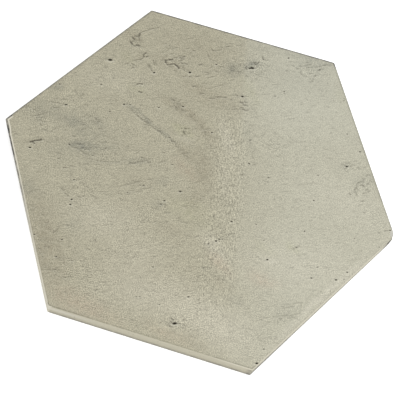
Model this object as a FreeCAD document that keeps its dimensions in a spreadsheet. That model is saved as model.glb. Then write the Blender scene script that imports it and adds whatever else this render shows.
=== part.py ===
# Hexagon floor tile: one piece of pressed and fired porcelain, lying face up.
# The origin is the middle of the back, where the tile rests on the floor.
# +Z goes up through the walking face. Two points of the hexagon lie on the X axis,
# and two flats are square to Y. Every length is in millimetres, every angle in degrees.
import FreeCAD
import Part
import Sketcher

import math
import os

NODE = "hexagon_tile"

# The driving sizes: name, value and what it measures.
SIZES = (
    ("across_flats", 175.0, "from one flat side to the opposite one"),
    ("tile_thickness", 9.0, "from the back to the walking face"),
    ("corner_radius", 0.8, "upright corner where two sides meet"),
    ("arris_radius", 0.45, "rounded edge of the walking face"),
    ("bevel_height", 2.2, "height of the band that leans in under the sides"),
    ("bevel_inset", 0.7, "how far that band leans in at the back"),
    ("border_width", 7.0, "plain land between the back's edge and the cells"),
    ("cell_rings", 3, "rings of bonding cells round the plain middle"),
    ("rib_width", 3.2, "rib between two cells, at the back plane"),
    ("cell_depth", 0.8, "from the back plane to a cell's floor"),
    ("cell_wall_lean", 40.0, "lean of a cell's walls, so that the die lets go"),
    ("cell_floor_radius", 1.2, "rounded corner of a cell's floor"),
    ("chip_radius", 4.0, "curve of the hollow where the +X point is chipped"),
    ("chip_beyond", 1.6, "from the point out to the hollow's centre, along X"),
    ("chip_aside", 0.95, "from the point to the hollow's centre, along Y"),
    ("chip_above", 2.0, "from the walking face up to the hollow's centre"),
)

SIDES = 6
TURN = 360 / SIDES
HALF_TURN = TURN / 2
OPPOSITE = SIDES // 2
# The vertices of a sketch element, and the sketch's own origin.
START, END, CENTRE = 1, 2, 3
ORIGIN_POINT = (-1, START)

# Lengths and angles that follow from the driving sizes.
SLAB_HEIGHT = "Sizes.tile_thickness - Sizes.bevel_height"
BEVEL_LEAN = "atan(Sizes.bevel_inset / Sizes.bevel_height)"
POINT_REACH = "Sizes.across_flats / 2 / cos(30 deg)"
CELL_FIELD = "(Sizes.across_flats / 2 - Sizes.bevel_inset - Sizes.border_width)"
# The outermost cells touch the border with their points. A cell is as wide as the
# pitch less a rib, so its point lies that over the square root of three from its middle.
PITCH = (
    f"(({CELL_FIELD} + Sizes.rib_width / sqrt(3))"
    " / (Sizes.cell_rings * cos(30 deg) + 1 / sqrt(3)))"
)
CELL_MOUTH = f"({PITCH} - Sizes.rib_width)"
CELL_WALL_RUN = "Sizes.cell_depth * tan(Sizes.cell_wall_lean * 1 deg)"
CELL_MOUTH_RADIUS = f"(Sizes.cell_floor_radius + {CELL_WALL_RUN})"


def fill_sheet(doc):
    """Writes the driving sizes into a sheet, each cell under its own name."""
    sheet = doc.addObject("Spreadsheet::Sheet", "Sizes")
    for row, (name, size, meaning) in enumerate(SIZES, start=1):
        sheet.set(f"A{row}", name)
        sheet.set(f"B{row}", str(size))
        sheet.set(f"C{row}", meaning)
        sheet.setAlias(f"B{row}", name)
    doc.recompute()
    return sheet


def lay_flat(body, item, height=None):
    """Puts a sketch or a solid on the back plane, or at the height of an expression."""
    planes = body.Origin.OriginFeatures
    back = next(plane for plane in planes if plane.Role == "XY_Plane")
    item.AttachmentSupport = [(back, "")]
    item.MapMode = "FlatFace"
    if height:
        item.setExpression(".AttachmentOffset.Base.z", height)


def now(item, expression):
    """What an expression comes to with the sizes as they stand."""
    return float(item.evalExpression(expression))


def polar(centre, distance, degrees):
    """The point at that distance and direction from the centre."""
    angle = math.radians(degrees)
    return centre + FreeCAD.Vector(math.cos(angle), math.sin(angle), 0) * distance


class Rules:
    """The rules of one sketch, gathered and then laid in one go."""

    def __init__(self, sketch):
        self.sketch = sketch
        self.rules = []

    def add(self, kind, *elements):
        """A rule that only relates elements."""
        self.rules.append((Sketcher.Constraint(kind, *elements), None, None))

    def measure(self, name, expression, kind, *elements):
        """A measured rule, which follows the sheet."""
        size = now(self.sketch, expression)
        self.rules.append((Sketcher.Constraint(kind, *elements, size), name, expression))

    def lay(self):
        """Puts the rules into the sketch, and ties the measured ones to the sheet."""
        indexes = self.sketch.addConstraint([rule for rule, _, _ in self.rules])
        for index, (_, name, expression) in zip(indexes, self.rules):
            if name:
                self.sketch.renameConstraint(index, name)
                self.sketch.setExpression(f"Constraints.{name}", expression)


def draw_hexagon(rules, middle, across, radius, first_normal):
    """A regular hexagon with rounded corners, held round the sketch point middle.

    across and radius are expressions, and first_normal is the way its first flat faces.
    Returns its flats and its corners. Nothing holds its size yet.
    """
    sketch = rules.sketch
    centre = sketch.getPoint(*middle)
    apothem = now(sketch, across) / 2
    rounding = now(sketch, radius)
    half_flat = (apothem - rounding) * math.tan(math.radians(HALF_TURN))
    corner_reach = (apothem - rounding) / math.cos(math.radians(HALF_TURN))
    normals = [first_normal + TURN * side for side in range(SIDES)]
    flats = []
    corners = []
    for normal in normals:
        foot = polar(centre, apothem, normal)
        start = polar(foot, half_flat, normal - 90)
        end = polar(foot, half_flat, normal + 90)
        flats.append(sketch.addGeometry(Part.LineSegment(start, end)))
    for normal in normals:
        hub = polar(centre, corner_reach, normal + HALF_TURN)
        circle = Part.Circle(hub, FreeCAD.Vector(0, 0, 1), rounding)
        arc = Part.ArcOfCircle(circle, math.radians(normal), math.radians(normal + TURN))
        corners.append(sketch.addGeometry(arc))
    for side in range(SIDES):
        rules.add("Tangent", flats[side], END, corners[side], START)
        rules.add("Tangent", corners[side], END, flats[(side + 1) % SIDES], START)
    for side in range(1, SIDES):
        rules.add("Equal", flats[0], flats[side])
        rules.add("Equal", corners[0], corners[side])
    for side in range(OPPOSITE):
        rules.add("Angle", flats[side], math.radians(normals[side] + 90))
    rules.add("Parallel", flats[0], flats[OPPOSITE])
    rules.add("Symmetric", corners[0], CENTRE, corners[OPPOSITE], CENTRE, *middle)
    return flats, corners


def size_hexagon(rules, hexagon, across, radius):
    """Ties a hexagon's width and rounding to expressions."""
    flats, corners = hexagon
    rules.measure("Rounding", radius, "Radius", corners[0])
    rules.measure("AcrossFlats", across, "Distance", flats[OPPOSITE], START, flats[0])


def walking_face(feature):
    """The name of the flat face that looks up."""
    for index, face in enumerate(feature.Shape.Faces, start=1):
        if face.normalAt(0, 0).z > 0.999:
            return f"Face{index}"
    raise RuntimeError("the slab has no face that looks up")


def press_slab(doc, body):
    """The upright-sided slab, the band that leans in under it, and the eased arris."""
    outline = body.newObject("Sketcher::SketchObject", "Outline")
    lay_flat(body, outline, "Sizes.bevel_height")
    rules = Rules(outline)
    sizes = ("Sizes.across_flats", "Sizes.corner_radius")
    size_hexagon(rules, draw_hexagon(rules, ORIGIN_POINT, *sizes, 90), *sizes)
    rules.lay()
    slab = body.newObject("PartDesign::Pad", "Slab")
    slab.Profile = outline
    slab.setExpression("Length", SLAB_HEIGHT)
    doc.recompute()
    bevel = body.newObject("PartDesign::Pad", "BackBevel")
    bevel.Profile = outline
    bevel.Reversed = True
    bevel.setExpression("Length", "Sizes.bevel_height")
    bevel.setExpression("TaperAngle", f"-{BEVEL_LEAN}")
    doc.recompute()
    arris = body.newObject("PartDesign::Fillet", "Arris")
    arris.Base = (bevel, [walking_face(bevel)])
    arris.setExpression("Radius", "Sizes.arris_radius")
    doc.recompute()


def chip_point(doc, body):
    """The shell-shaped hollow where the +X point lost a flake of the walking face."""
    before = body.Shape.Volume
    chip = body.newObject("PartDesign::SubtractiveSphere", "Chip")
    lay_flat(body, chip, "Sizes.tile_thickness + Sizes.chip_above")
    chip.setExpression(".AttachmentOffset.Base.x", f"{POINT_REACH} + Sizes.chip_beyond")
    chip.setExpression(".AttachmentOffset.Base.y", "Sizes.chip_aside")
    chip.setExpression("Radius", "Sizes.chip_radius")
    doc.recompute()
    if body.Shape.Volume >= before:
        raise RuntimeError("the chip took nothing away")


def cell_middles(rules, rings):
    """The middles of a sixth of the cells, as sketch points.

    A spine runs out along X, one step to a ring. From each of its joints a row turns
    back by two sixths along that ring's side, and stops one step short of its end,
    where the next sixth begins. Every step is as long as the first.
    """
    sketch = rules.sketch
    step = now(sketch, PITCH)
    first_step = None
    joint = ORIGIN_POINT
    middles = []
    for ring in range(1, rings + 1):
        for place in range(ring):
            direction = 2 * TURN if place else 0
            start = sketch.getPoint(*joint)
            line = Part.LineSegment(start, polar(start, step, direction))
            link = sketch.addGeometry(line, True)
            rules.add("Coincident", link, START, *joint)
            rules.add("Angle", link, math.radians(direction))
            if first_step is None:
                first_step = link
                rules.measure("Pitch", PITCH, "Distance", link)
            else:
                rules.add("Equal", first_step, link)
            joint = (link, END)
            middles.append(joint)
        joint = middles[-ring]
    return middles


def press_bonding_key(doc, body, rings):
    """The honeycomb on the back: a sixth of its cells pressed in, then turned round."""
    sketch = body.newObject("Sketcher::SketchObject", "CellOutlines")
    lay_flat(body, sketch)
    rules = Rules(sketch)
    sizes = (CELL_MOUTH, CELL_MOUTH_RADIUS)
    cells = [draw_hexagon(rules, middle, *sizes, 0) for middle in cell_middles(rules, rings)]
    size_hexagon(rules, cells[0], *sizes)
    for cell in cells[1:]:
        for element, model in zip(cell, cells[0]):
            rules.add("Equal", model[0], element[0])
    rules.lay()
    before = body.Shape.Volume
    pressing = body.newObject("PartDesign::Pocket", "Cells")
    pressing.Profile = sketch
    pressing.Reversed = True
    pressing.setExpression("Length", "Sizes.cell_depth")
    pressing.setExpression("TaperAngle", "-Sizes.cell_wall_lean")
    doc.recompute()
    one_sixth = before - body.Shape.Volume
    key = body.newObject("PartDesign::PolarPattern", "BondingKey")
    key.Originals = [pressing]
    key.Axis = (sketch, ["N_Axis"])
    key.Angle = 360
    key.Occurrences = SIDES
    body.Tip = key
    doc.recompute()
    pressed = before - body.Shape.Volume
    if one_sixth <= 0 or not math.isclose(pressed, SIDES * one_sixth, rel_tol=0.001):
        raise RuntimeError("the bonding cells didn't press into the back")


def check(doc, body):
    """Stops if any object failed or the tile isn't one sound solid."""
    failed = [item.Name for item in doc.Objects if {"Invalid", "Error"} & set(item.State)]
    if failed:
        raise RuntimeError(f"failed: {failed}")
    shape = body.Shape
    if shape.isNull() or not shape.isValid() or len(shape.Solids) != 1:
        raise RuntimeError("the tile isn't one valid solid")


def build():
    """Presses the tile and writes its solid."""
    doc = FreeCAD.newDocument("HexagonTile")
    sheet = fill_sheet(doc)
    body = doc.addObject("PartDesign::Body", "Tile")
    body.Label = NODE
    press_slab(doc, body)
    chip_point(doc, body)
    press_bonding_key(doc, body, int(sheet.get("cell_rings")))
    check(doc, body)
    os.makedirs("parts", exist_ok=True)
    body.Shape.exportStep(f"parts/{body.Label}.step")
    print(f"{body.Label}: {body.Shape.Volume / 1000:.2f} cubic centimetres,"
          f" {len(body.Shape.Faces)} faces")


build()
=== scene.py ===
"""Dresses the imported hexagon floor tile: pressed body, worn walking face, plain stage."""

import math
import random
from types import SimpleNamespace

import bpy
import numpy as np
from bpy.props import (
    FloatProperty,
    FloatVectorProperty,
    IntProperty,
    PointerProperty,
)
from mathutils import Matrix, Vector, geometry, noise


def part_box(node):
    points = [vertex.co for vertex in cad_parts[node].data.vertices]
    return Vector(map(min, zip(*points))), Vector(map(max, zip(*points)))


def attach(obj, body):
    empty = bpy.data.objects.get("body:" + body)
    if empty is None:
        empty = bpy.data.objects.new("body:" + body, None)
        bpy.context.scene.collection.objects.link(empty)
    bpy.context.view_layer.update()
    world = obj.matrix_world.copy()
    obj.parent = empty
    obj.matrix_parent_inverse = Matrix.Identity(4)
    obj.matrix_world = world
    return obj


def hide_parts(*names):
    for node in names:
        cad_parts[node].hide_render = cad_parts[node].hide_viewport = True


bl_info = {
    "name": "Hexagon Floor Tile",
    "version": (1, 0, 0),
    "blender": (4, 5, 0),
    "location": "View3D > Sidebar > Floor Tile",
    "description": "A pressed hexagon tile with a concrete-look walking face",
    "category": "Add Mesh",
}

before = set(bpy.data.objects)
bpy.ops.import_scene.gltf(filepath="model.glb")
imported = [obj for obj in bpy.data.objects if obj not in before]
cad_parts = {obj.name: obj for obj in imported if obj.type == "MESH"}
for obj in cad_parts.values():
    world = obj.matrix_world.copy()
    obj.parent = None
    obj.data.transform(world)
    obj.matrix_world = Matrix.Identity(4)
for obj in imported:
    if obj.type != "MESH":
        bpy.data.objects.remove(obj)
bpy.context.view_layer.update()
NODE = "hexagon_tile"
BODY = "root"
CAD_LOW, CAD_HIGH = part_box(NODE)

# The scene is in metres. The tile is worked out in millimetres.
MM = 0.001
SIDES = 6
TURN = math.tau / SIDES
HALF_TURN = TURN / 2
UP = Vector((0, 0, 1))
TINY = 1e-6

# The photograph's frame, and the camera that was fitted to the tile's corners in it.
PHOTO_SIDE = 400
PHOTO_FOCUS = 1085.6
SENSOR = 36.0
CAMERA_PLACE = Vector((0.00250, -0.23580, 0.49730))
CAMERA_AIM = Vector((0.003010, -0.011980, 0.009002))
CAMERA_ROLL = math.radians(17.061)


def camera_axes():
    """The fitted camera's right, up and forward directions."""
    forward = (CAMERA_AIM - CAMERA_PLACE).normalized()
    level = forward.cross(UP).normalized()
    upright = level.cross(forward)
    right = level * math.cos(CAMERA_ROLL) + upright * math.sin(CAMERA_ROLL)
    return right, right.cross(forward), forward


def on_level(across, down, height):
    """The millimetres on a level plane that a pixel of the photograph shows."""
    right, up, forward = camera_axes()
    half = PHOTO_SIDE / 2
    ray = forward * PHOTO_FOCUS + right * (across - half) - up * (down - half)
    reach = (height - CAMERA_PLACE.z) / ray.z
    place = (CAMERA_PLACE + ray * reach) / MM
    return np.array((place.x, place.y))


def on_face(across, down):
    """The millimetres on the walking face that a pixel of the photograph shows."""
    return on_level(across, down, CAD_HIGH.z)


# What a pixel near the photograph's middle covers, and how the photograph lies on the face.
MIDDLE = PHOTO_SIDE / 2
REACH = 40
RIGHTWARD = on_face(MIDDLE + REACH, MIDDLE) - on_face(MIDDLE, MIDDLE)
DOWNWARD = on_face(MIDDLE, MIDDLE + REACH) - on_face(MIDDLE, MIDDLE)
PIXEL = float(np.linalg.norm(RIGHTWARD)) / REACH
LIE = math.atan2(RIGHTWARD[1], RIGHTWARD[0])
DOWNWARD /= np.linalg.norm(DOWNWARD)

# Pores in the face: how dark a set of them is, and for each one its pixel of the
# photograph, across and down, and its half length in pixels.
PORES = {
    "black": (1.0, (
        (110.3, 59.7, 2.6), (174.7, 323.3, 2.5), (256.8, 363.3, 1.6), (267.4, 259.6, 1.3),
        (252.2, 67.9, 2.4), (249.8, 68.3, 1.6), (242.4, 96.4, 1.5), (70.3, 204.4, 1.3),
        (189.9, 72.4, 1.6), (30.0, 147.3, 1.5), (346.9, 166.5, 1.7), (154.2, 72.5, 1.5),
    )),
    "dark": (0.85, (
        (390.3, 230.3, 1.1),
        (180.3, 191.4, 1.4), (124.0, 104.2, 1.4), (66.0, 104.6, 1.6), (216.4, 64.4, 1.3),
        (183.0, 106.4, 1.4), (188.4, 296.8, 1.2), (216.0, 240.9, 1.4), (360.0, 151.8, 1.3),
        (336.0, 279.8, 1.4), (347.2, 272.2, 1.1), (212.0, 132.5, 1.1), (208.4, 243.7, 1.2),
        (158.9, 107.3, 1.2), (231.6, 221.5, 1.2), (249.2, 163.6, 1.2), (311.4, 278.0, 1.2),
        (164.4, 200.6, 1.2), (62.0, 239.3, 1.1), (56.2, 256.6, 1.0), (34.4, 234.4, 1.0),
        (71.6, 199.2, 1.2), (313.8, 200.5, 1.1), (304.6, 231.2, 1.0), (288.6, 58.0, 1.2),
    )),
    "grey": (0.6, (
        (268.6, 177.6, 1.3), (263.8, 349.2, 1.2), (153.0, 266.8, 1.1), (71.8, 260.6, 1.1),
        (172.2, 164.4, 1.1), (159.2, 304.4, 0.9), (69.5, 144.4, 1.1), (296.4, 247.2, 1.1),
        (101.4, 84.2, 1.4), (109.6, 111.4, 1.0), (130.2, 104.5, 1.1), (284.2, 91.6, 1.0),
        (263.4, 58.8, 1.1), (47.6, 303.6, 1.1), (219.2, 239.0, 1.2), (318.2, 175.2, 1.2),
        (347.2, 134.0, 1.1), (319.6, 69.8, 1.2), (74.0, 179.4, 1.0), (317.3, 267.0, 1.1),
        (343.8, 100.8, 1.1), (143.6, 185.0, 1.1), (59.8, 84.0, 1.2), (275.3, 96.0, 1.3),
        (344.0, 279.3, 0.8), (379.3, 247.2, 0.9), (263.8, 240.4, 1.0), (354.6, 238.6, 0.9),
        (330.4, 291.0, 0.8), (161.0, 203.8, 1.1), (127.4, 192.4, 1.0), (136.6, 296.6, 1.0),
        (139.8, 296.4, 1.0), (256.1, 224.3, 1.1), (250.2, 140.0, 1.0), (95.3, 240.0, 0.9),
    )),
    "faint": (0.32, (
        (366.8, 256.6, 1.1), (96.6, 79.7, 1.3), (148.0, 310.3, 1.0), (378.8, 232.7, 1.2),
        (325.0, 65.2, 1.4), (276.6, 337.6, 1.0), (262.3, 326.8, 1.1), (360.0, 204.6, 1.1),
        (364.2, 212.9, 1.0), (274.4, 199.4, 1.1), (202.6, 214.8, 1.2), (206.2, 222.2, 1.2),
        (188.6, 331.4, 1.2), (199.4, 303.0, 1.2), (200.6, 308.8, 1.1), (310.2, 82.0, 1.1),
        (315.4, 76.2, 1.2), (165.6, 283.2, 1.0), (324.6, 235.0, 1.1), (299.2, 255.2, 1.3),
        (327.4, 83.2, 0.9), (162.0, 242.8, 0.9), (196.2, 236.2, 0.9), (127.0, 229.8, 0.8),
        (191.4, 336.0, 1.0), (195.0, 337.8, 0.9), (190.6, 329.2, 0.8), (205.2, 309.6, 0.8),
        (248.6, 308.2, 0.9), (221.4, 350.0, 0.9), (222.8, 316.4, 0.9), (167.8, 309.0, 0.9),
        (125.0, 317.0, 1.0), (327.0, 267.2, 0.7),
    )),
}

# Strokes in the face: how dark a set of them is, its width in pixels, and the pixels of
# the photograph through which each stroke runs.
STROKES = {
    "curved hair": (0.62, 0.8, (
        ((158, 27.6), (151, 28.7), (147, 30.3), (142, 31.8), (139.8, 33)),
    )),
    "first ring, blobs": (0.8, 1.6, (
        ((139.8, 33.6), (139, 36.4)), ((132.8, 37.6), (134.6, 39.4)),
        ((131, 42), (132.2, 44)), ((136.8, 45), (139.4, 45.4)),
    )),
    "first ring, arcs": (0.6, 1.0, (
        ((139, 36.4), (136, 36)), ((138.6, 36.6), (139.4, 39.4)),
        ((130.2, 42.6), (133, 41.2)), ((132.2, 44), (134, 45.4)),
    )),
    "small hook": (0.85, 1.1, (
        ((145.6, 53), (143.4, 54.6), (144, 56.6)), ((146.4, 56.8), (148, 56.2)),
    )),
    "under the hook": (0.5, 1.0, (
        ((143.2, 57.6), (141, 59.2), (137, 59.6), (134, 60.6)), ((132, 63.4), (134.4, 65)),
        ((153, 60), (154.6, 65)), ((155.4, 60.5), (156, 63.4)), ((150.4, 68.4), (152.4, 71)),
        ((126, 63.6), (128.4, 63)), ((131.4, 68), (133, 67.4)),
    )),
    "grey blob": (0.5, 2.2, (
        ((148.6, 64.8), (150.2, 67.4)),
    )),
    "broken dashes, dark": (1.0, 1.3, (
        ((169.4, 59.6), (172.8, 59.3)), ((165.6, 60.4), (165.8, 62.2)),
        ((175.6, 64.8), (177.4, 66)), ((178.2, 67.2), (179.2, 68.2)),
    )),
    "broken dashes, soft": (0.7, 1.1, (
        ((166, 62.4), (167.6, 64.8), (171, 64.4), (174, 63.6), (175.8, 64.8)),
        ((164.6, 60.2), (168.6, 59.9)),
    )),
    "broken dashes, east": (0.6, 1.0, (
        ((174.4, 57.6), (177.4, 57.2)), ((178.8, 55.8), (182, 55.6)), ((180, 57.6), (182, 58)),
        ((183.4, 56.4), (185.4, 56.6)), ((180.6, 60.4), (182.4, 60.2)),
        ((182.4, 66.4), (183.4, 67.6)), ((184.6, 63.2), (186.6, 63.6)),
        ((183.4, 69.6), (184.4, 70.2)), ((182.8, 63.4), (181.4, 63)),
    )),
    "faint arcs": (0.4, 0.8, (
        ((160.4, 53), (165.6, 51.6), (168.6, 49.6)), ((169.4, 48.8), (174.6, 48.2)),
        ((174.6, 47.6), (178, 47.2)), ((161.6, 60.2), (164, 59.6)), ((166, 43.6), (163, 44)),
    )),
    "north dashes": (0.55, 1.0, (
        ((192.8, 50), (195, 51)), ((186.6, 48.6), (188, 48.6)), ((192.4, 56), (193.6, 56.4)),
        ((182.8, 76.4), (186, 76.2)), ((189.4, 76.6), (191, 76.4)), ((195.8, 76.4), (199, 76.2)),
        ((192.6, 86.4), (195, 86.2)), ((186.6, 69.8), (189, 71)), ((200, 64.6), (202, 64)),
    )),
    "north pair": (1.0, 1.1, (
        ((137, 84.2), (139.4, 83.4), (142.4, 84)), ((138.8, 91.4), (141.4, 92.2)),
    )),
    "north pair, faint": (0.15, 1.0, (
        ((135.6, 85.6), (137, 84.4)), ((140, 79.2), (141.4, 79.4)), ((149, 90), (152, 89.6)),
        ((121, 78), (125, 77.4)), ((112, 70.4), (116, 71)), ((104, 66), (107, 66.4)),
    )),
    "north, top": (0.5, 0.9, (
        ((226, 46.6), (231, 46.2)), ((236.6, 45.4), (241, 45)), ((214, 50.2), (220, 50)),
        ((206, 72.4), (209, 73)), ((206, 74.6), (209, 74)), ((215, 71), (217, 71.6)),
        ((209, 77.6), (214.6, 76)), ((210, 58.4), (211, 59.4)), ((208, 54.4), (209, 56)),
        ((211.4, 48.4), (212.6, 50)), ((221, 66.6), (224, 67)), ((213, 66), (210, 68)),
    )),
    "second ring, dark": (0.64, 1.1, (
        ((254.6, 63.6), (256, 64.6), (257.6, 63.2), (259.6, 61.8)), ((253.6, 62.6), (256, 62.4)),
        ((262.2, 58.2), (263.8, 59.6)), ((262.2, 56.2), (262.8, 57.4)),
    )),
    "second ring, west": (0.4, 1.4, (
        ((245.6, 68.6), (247, 69.8)), ((246.6, 66.2), (246, 68)), ((246.4, 75.8), (248, 76.4)),
        ((255, 78.4), (257, 78.6)),
    )),
    "second ring, soft": (0.25, 1.0, (
        ((249.6, 60.6), (251, 62.4)), ((268, 52), (268.8, 53.6)), ((252, 55.8), (256, 54.6)),
        ((259.4, 73.4), (262.2, 72.6)), ((256, 74.8), (259.6, 74.2)), ((250.4, 72.6), (253, 71.8)),
        ((263.6, 71.4), (265.4, 70.4)), ((235.2, 61), (236, 62.2)), ((228, 72.4), (231, 73.4)),
        ((252.4, 79.6), (251.4, 81.4)), ((233, 58.6), (236, 60)), ((240.6, 56), (243, 55.4)),
        ((232.6, 65), (235, 67.4)), ((229, 66.6), (230.6, 68)), ((260, 68), (262, 66.6)),
        ((269.4, 80.4), (270, 81.6)), ((238, 71), (240, 72.4)), ((266, 64.6), (268.6, 66)),
    )),
    "north smear": (0.55, 1.1, (
        ((209.8, 98.2), (214.8, 98.2)), ((216.8, 97), (221, 96.8)), ((221.4, 96.9), (226.6, 97.4)),
        ((235.6, 94.8), (237.6, 95.4)), ((200.4, 93), (203.2, 93.4)),
    )),
    "north smear, soft": (0.26, 0.9, (
        ((226.6, 97.4), (229, 98.4)), ((229.6, 95.8), (235.4, 94.8)),
        ((209, 88.6), (213, 87.2), (217.6, 86), (223, 85.2)), ((229.4, 80.6), (233, 79.8)),
        ((213, 97), (217, 96.4)), ((237.4, 95.6), (240, 96.6)), ((217.6, 85.8), (226, 83)),
    )),
    "smear's end": (0.75, 1.0, (
        ((243.4, 104.8), (246.4, 105.2)), ((241, 107.6), (243.4, 108)),
        ((242.4, 109.4), (244.6, 109.8)), ((240.6, 102.4), (243.4, 103)),
        ((245, 110.4), (247.4, 110)), ((245, 101.8), (246.8, 102.6)),
    )),
    "smear's end, soft": (0.25, 0.9, (
        ((224.6, 109.4), (229.4, 108.6)), ((231.6, 109.4), (239.4, 109)),
        ((252, 109.6), (255.4, 109.4)), ((203, 106.4), (204.6, 106.8)), ((232.4, 106.4), (239.6, 106)),
        ((256, 101.6), (259, 102)), ((251, 117.6), (253.4, 117.2)), ((255, 93.8), (259.6, 94.2)),
        ((264, 94.2), (269, 94)), ((272, 97.6), (274, 96.4)), ((253.6, 105), (256, 104.6)),
    )),
    "west hair": (0.4, 0.9, (
        ((51, 101.4), (54, 102.4), (58, 102.6)), ((58, 102.6), (64, 104.2)),
        ((54, 107.6), (59.4, 107.4)), ((54.4, 98.8), (58, 98)),
    )),
    "west fork": (0.4, 1.1, (
        ((35.6, 115.4), (40, 114.8), (44, 113.2), (47.6, 111.8)), ((33, 108.6), (36.4, 110.6)),
        ((27.6, 106.4), (31, 107)), ((40, 119.6), (43, 121.2), (46.6, 121.8)),
        ((40.4, 123.8), (41.6, 125)),
    )),
    "black crack": (1.0, 1.5, (
        ((30.4, 141.7), (33, 141.1)), ((38.4, 140.1), (41.2, 139.5)),
    )),
    "black crack, middle": (1.0, 1.0, (
        ((33, 141.1), (35, 140.2), (38.4, 140.1)), ((33, 142.6), (34.6, 143.2)),
    )),
    "blots": (0.42, 1.3, (
        ((97.4, 121), (99.6, 121.4)), ((95.8, 118), (96.4, 119.4)), ((99.4, 128.4), (101.6, 128.6)),
    )),
    "blots, soft": (0.32, 1.1, (
        ((95.6, 123.6), (98, 123)), ((90, 115.8), (92.4, 116.2)), ((101, 122.4), (104.4, 123)),
        ((87, 117.8), (89.6, 117)), ((80.6, 117.2), (86, 115.6)), ((82, 129.4), (87, 127.6)),
        ((81, 98.2), (82.6, 98)), ((73.4, 90.6), (75.6, 90.4)), ((68, 96), (72, 95.4)),
    )),
    "cloud's edge": (0.4, 1.1, (
        ((69, 144.2), (70.6, 145), (73, 147.4), (78, 147.8)), ((80, 149.6), (84, 153.2), (86, 153.4)),
        ((85, 149.4), (88.6, 148.8)), ((92.6, 155.2), (94, 155.6)), ((72.6, 135.4), (74, 136)),
        ((81, 148), (86, 147.6)), ((78, 144), (83, 144)), ((79.6, 163.2), (80, 164.6)),
    )),
    "west scuff": (0.33, 1.0, (
        ((53, 129.8), (55.6, 128.6)), ((50.4, 131.2), (52.4, 131.4)), ((28.4, 129.6), (29.6, 129.2)),
        ((56.6, 138.4), (57.2, 139.8)), ((64, 130.6), (66.4, 129.8)), ((58, 152.6), (60, 153.4)),
    )),
    "thin line": (0.34, 0.9, (
        ((96.4, 160.4), (101, 160.8), (105.6, 161.4), (112.4, 161.8)),
        ((112.4, 161.8), (116, 161.6), (119.6, 161.8)),
    )),
    "wavy line": (0.45, 1.3, (
        ((130, 162.4), (132.6, 163.2), (135.4, 163)), ((138.4, 161.6), (143.4, 161.2)),
        ((147.8, 162.4), (150.6, 162.4)), ((141, 157), (143.4, 157.6)),
    )),
    "wavy line, soft": (0.3, 1.2, (
        ((135.4, 163), (138.4, 161.6)), ((143.4, 161.2), (145.8, 160), (148.8, 158.8)),
        ((145, 157.8), (149, 159)), ((146.4, 160.2), (148.6, 161.4)), ((121.8, 157.4), (125, 155.4)),
        ((120.6, 159.8), (124, 159.6)), ((158, 163), (166, 160.4)),
    )),
    "drag, dark": (0.6, 1.2, (
        ((136.4, 114.4), (138.6, 116.2)), ((141, 118.6), (142.6, 119.6)),
        ((157.4, 130), (159.2, 131)), ((172.2, 141), (174.4, 141.6)), ((168.6, 137.4), (170, 137.6)),
    )),
    "drag, lower edge": (0.22, 1.3, (
        ((138.6, 116.2), (141, 118.6)), ((142.6, 119.6), (146, 121.6), (149, 125)),
        ((151, 125.6), (154, 128.2), (157.4, 130)),
        ((159.2, 131), (161.6, 133.4), (165.6, 136), (168.6, 137.4)),
        ((170, 137.6), (172.2, 141)), ((174.4, 141.6), (176.6, 144.6)),
        ((127.2, 107), (129.4, 108)), ((132, 110), (134.6, 112.6)),
    )),
    "drag, upper edge": (0.15, 1.2, (
        ((133.6, 106.6), (137, 110), (140.4, 113), (145, 116)), ((148, 118), (151.4, 121.6), (154, 124)),
        ((158, 127), (161.6, 129.8)), ((118, 96.6), (121, 98.8), (124, 100)),
        ((108.6, 95.2), (118.6, 95.8)),
    )),
    "second drag": (0.28, 1.8, (
        ((170.6, 98), (173.4, 99.6)), ((183.4, 110.4), (186, 111)), ((190, 114.6), (191.4, 117)),
        ((193.6, 118.6), (196, 121)), ((176, 108.8), (177.6, 110)), ((201, 124.6), (203, 128)),
    )),
    "second drag, dark": (0.4, 1.1, (
        ((171.8, 99.2), (174, 100.4)), ((175.4, 106.8), (177, 107.6)),
        ((176.4, 109.4), (177, 110.2)), ((178.6, 101.2), (180.4, 100.2)),
    )),
    "drag's tail": (0.24, 1.5, (
        ((179.4, 149.6), (182.4, 149.8)), ((183.4, 154), (185.6, 156)), ((184, 152.6), (187.4, 152.4)),
        ((176.6, 146), (178.4, 146.8)), ((168, 148.4), (173, 148.6)), ((186.6, 156), (188, 158.4)),
    )),
    "above the drag": (0.26, 1.0, (
        ((152.4, 99.2), (156.4, 97.8), (159.6, 97)), ((148.6, 98), (151.4, 99)),
        ((109, 111.6), (110.6, 111.4)), ((103.6, 117.2), (105.4, 117.6)), ((126, 104), (128.6, 103.4)),
    )),
    "middle loop": (0.7, 1.3, (
        ((184.6, 128.2), (186, 128.8)), ((183.4, 131.6), (184.4, 133.2)),
    )),
    "middle loop, soft": (0.32, 1.1, (
        ((183.8, 130.4), (184, 131.6)), ((188.4, 133.4), (190.4, 132.6)), ((191, 131), (192.4, 129.8)),
        ((187, 128.4), (190, 128.8)), ((181, 135.2), (183, 136)),
    )),
    "middle streaks": (0.34, 1.0, (
        ((120, 186.2), (126, 184.6), (132, 183.4)), ((132, 183.4), (136, 182), (141, 181)),
        ((129, 190.6), (134, 190.4)), ((136, 191.6), (141, 191)), ((141, 189), (144, 188.6)),
        ((146.6, 188.6), (148.4, 188.2)), ((147.4, 188.6), (151, 187)), ((118, 193.4), (122, 194)),
        ((127, 194.6), (130.4, 194.4)), ((148, 179.6), (153, 178.6)), ((119, 197), (121, 199)),
    )),
    "by the fold": (0.35, 1.0, (
        ((196, 182.4), (200, 181.4)), ((179, 191.2), (183, 191)),
    )),
    "by the fold, soft": (0.16, 0.9, (
        ((190.4, 183.6), (196, 183)), ((194, 177.6), (197, 177)), ((183.6, 185.6), (187, 185.4)),
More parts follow.
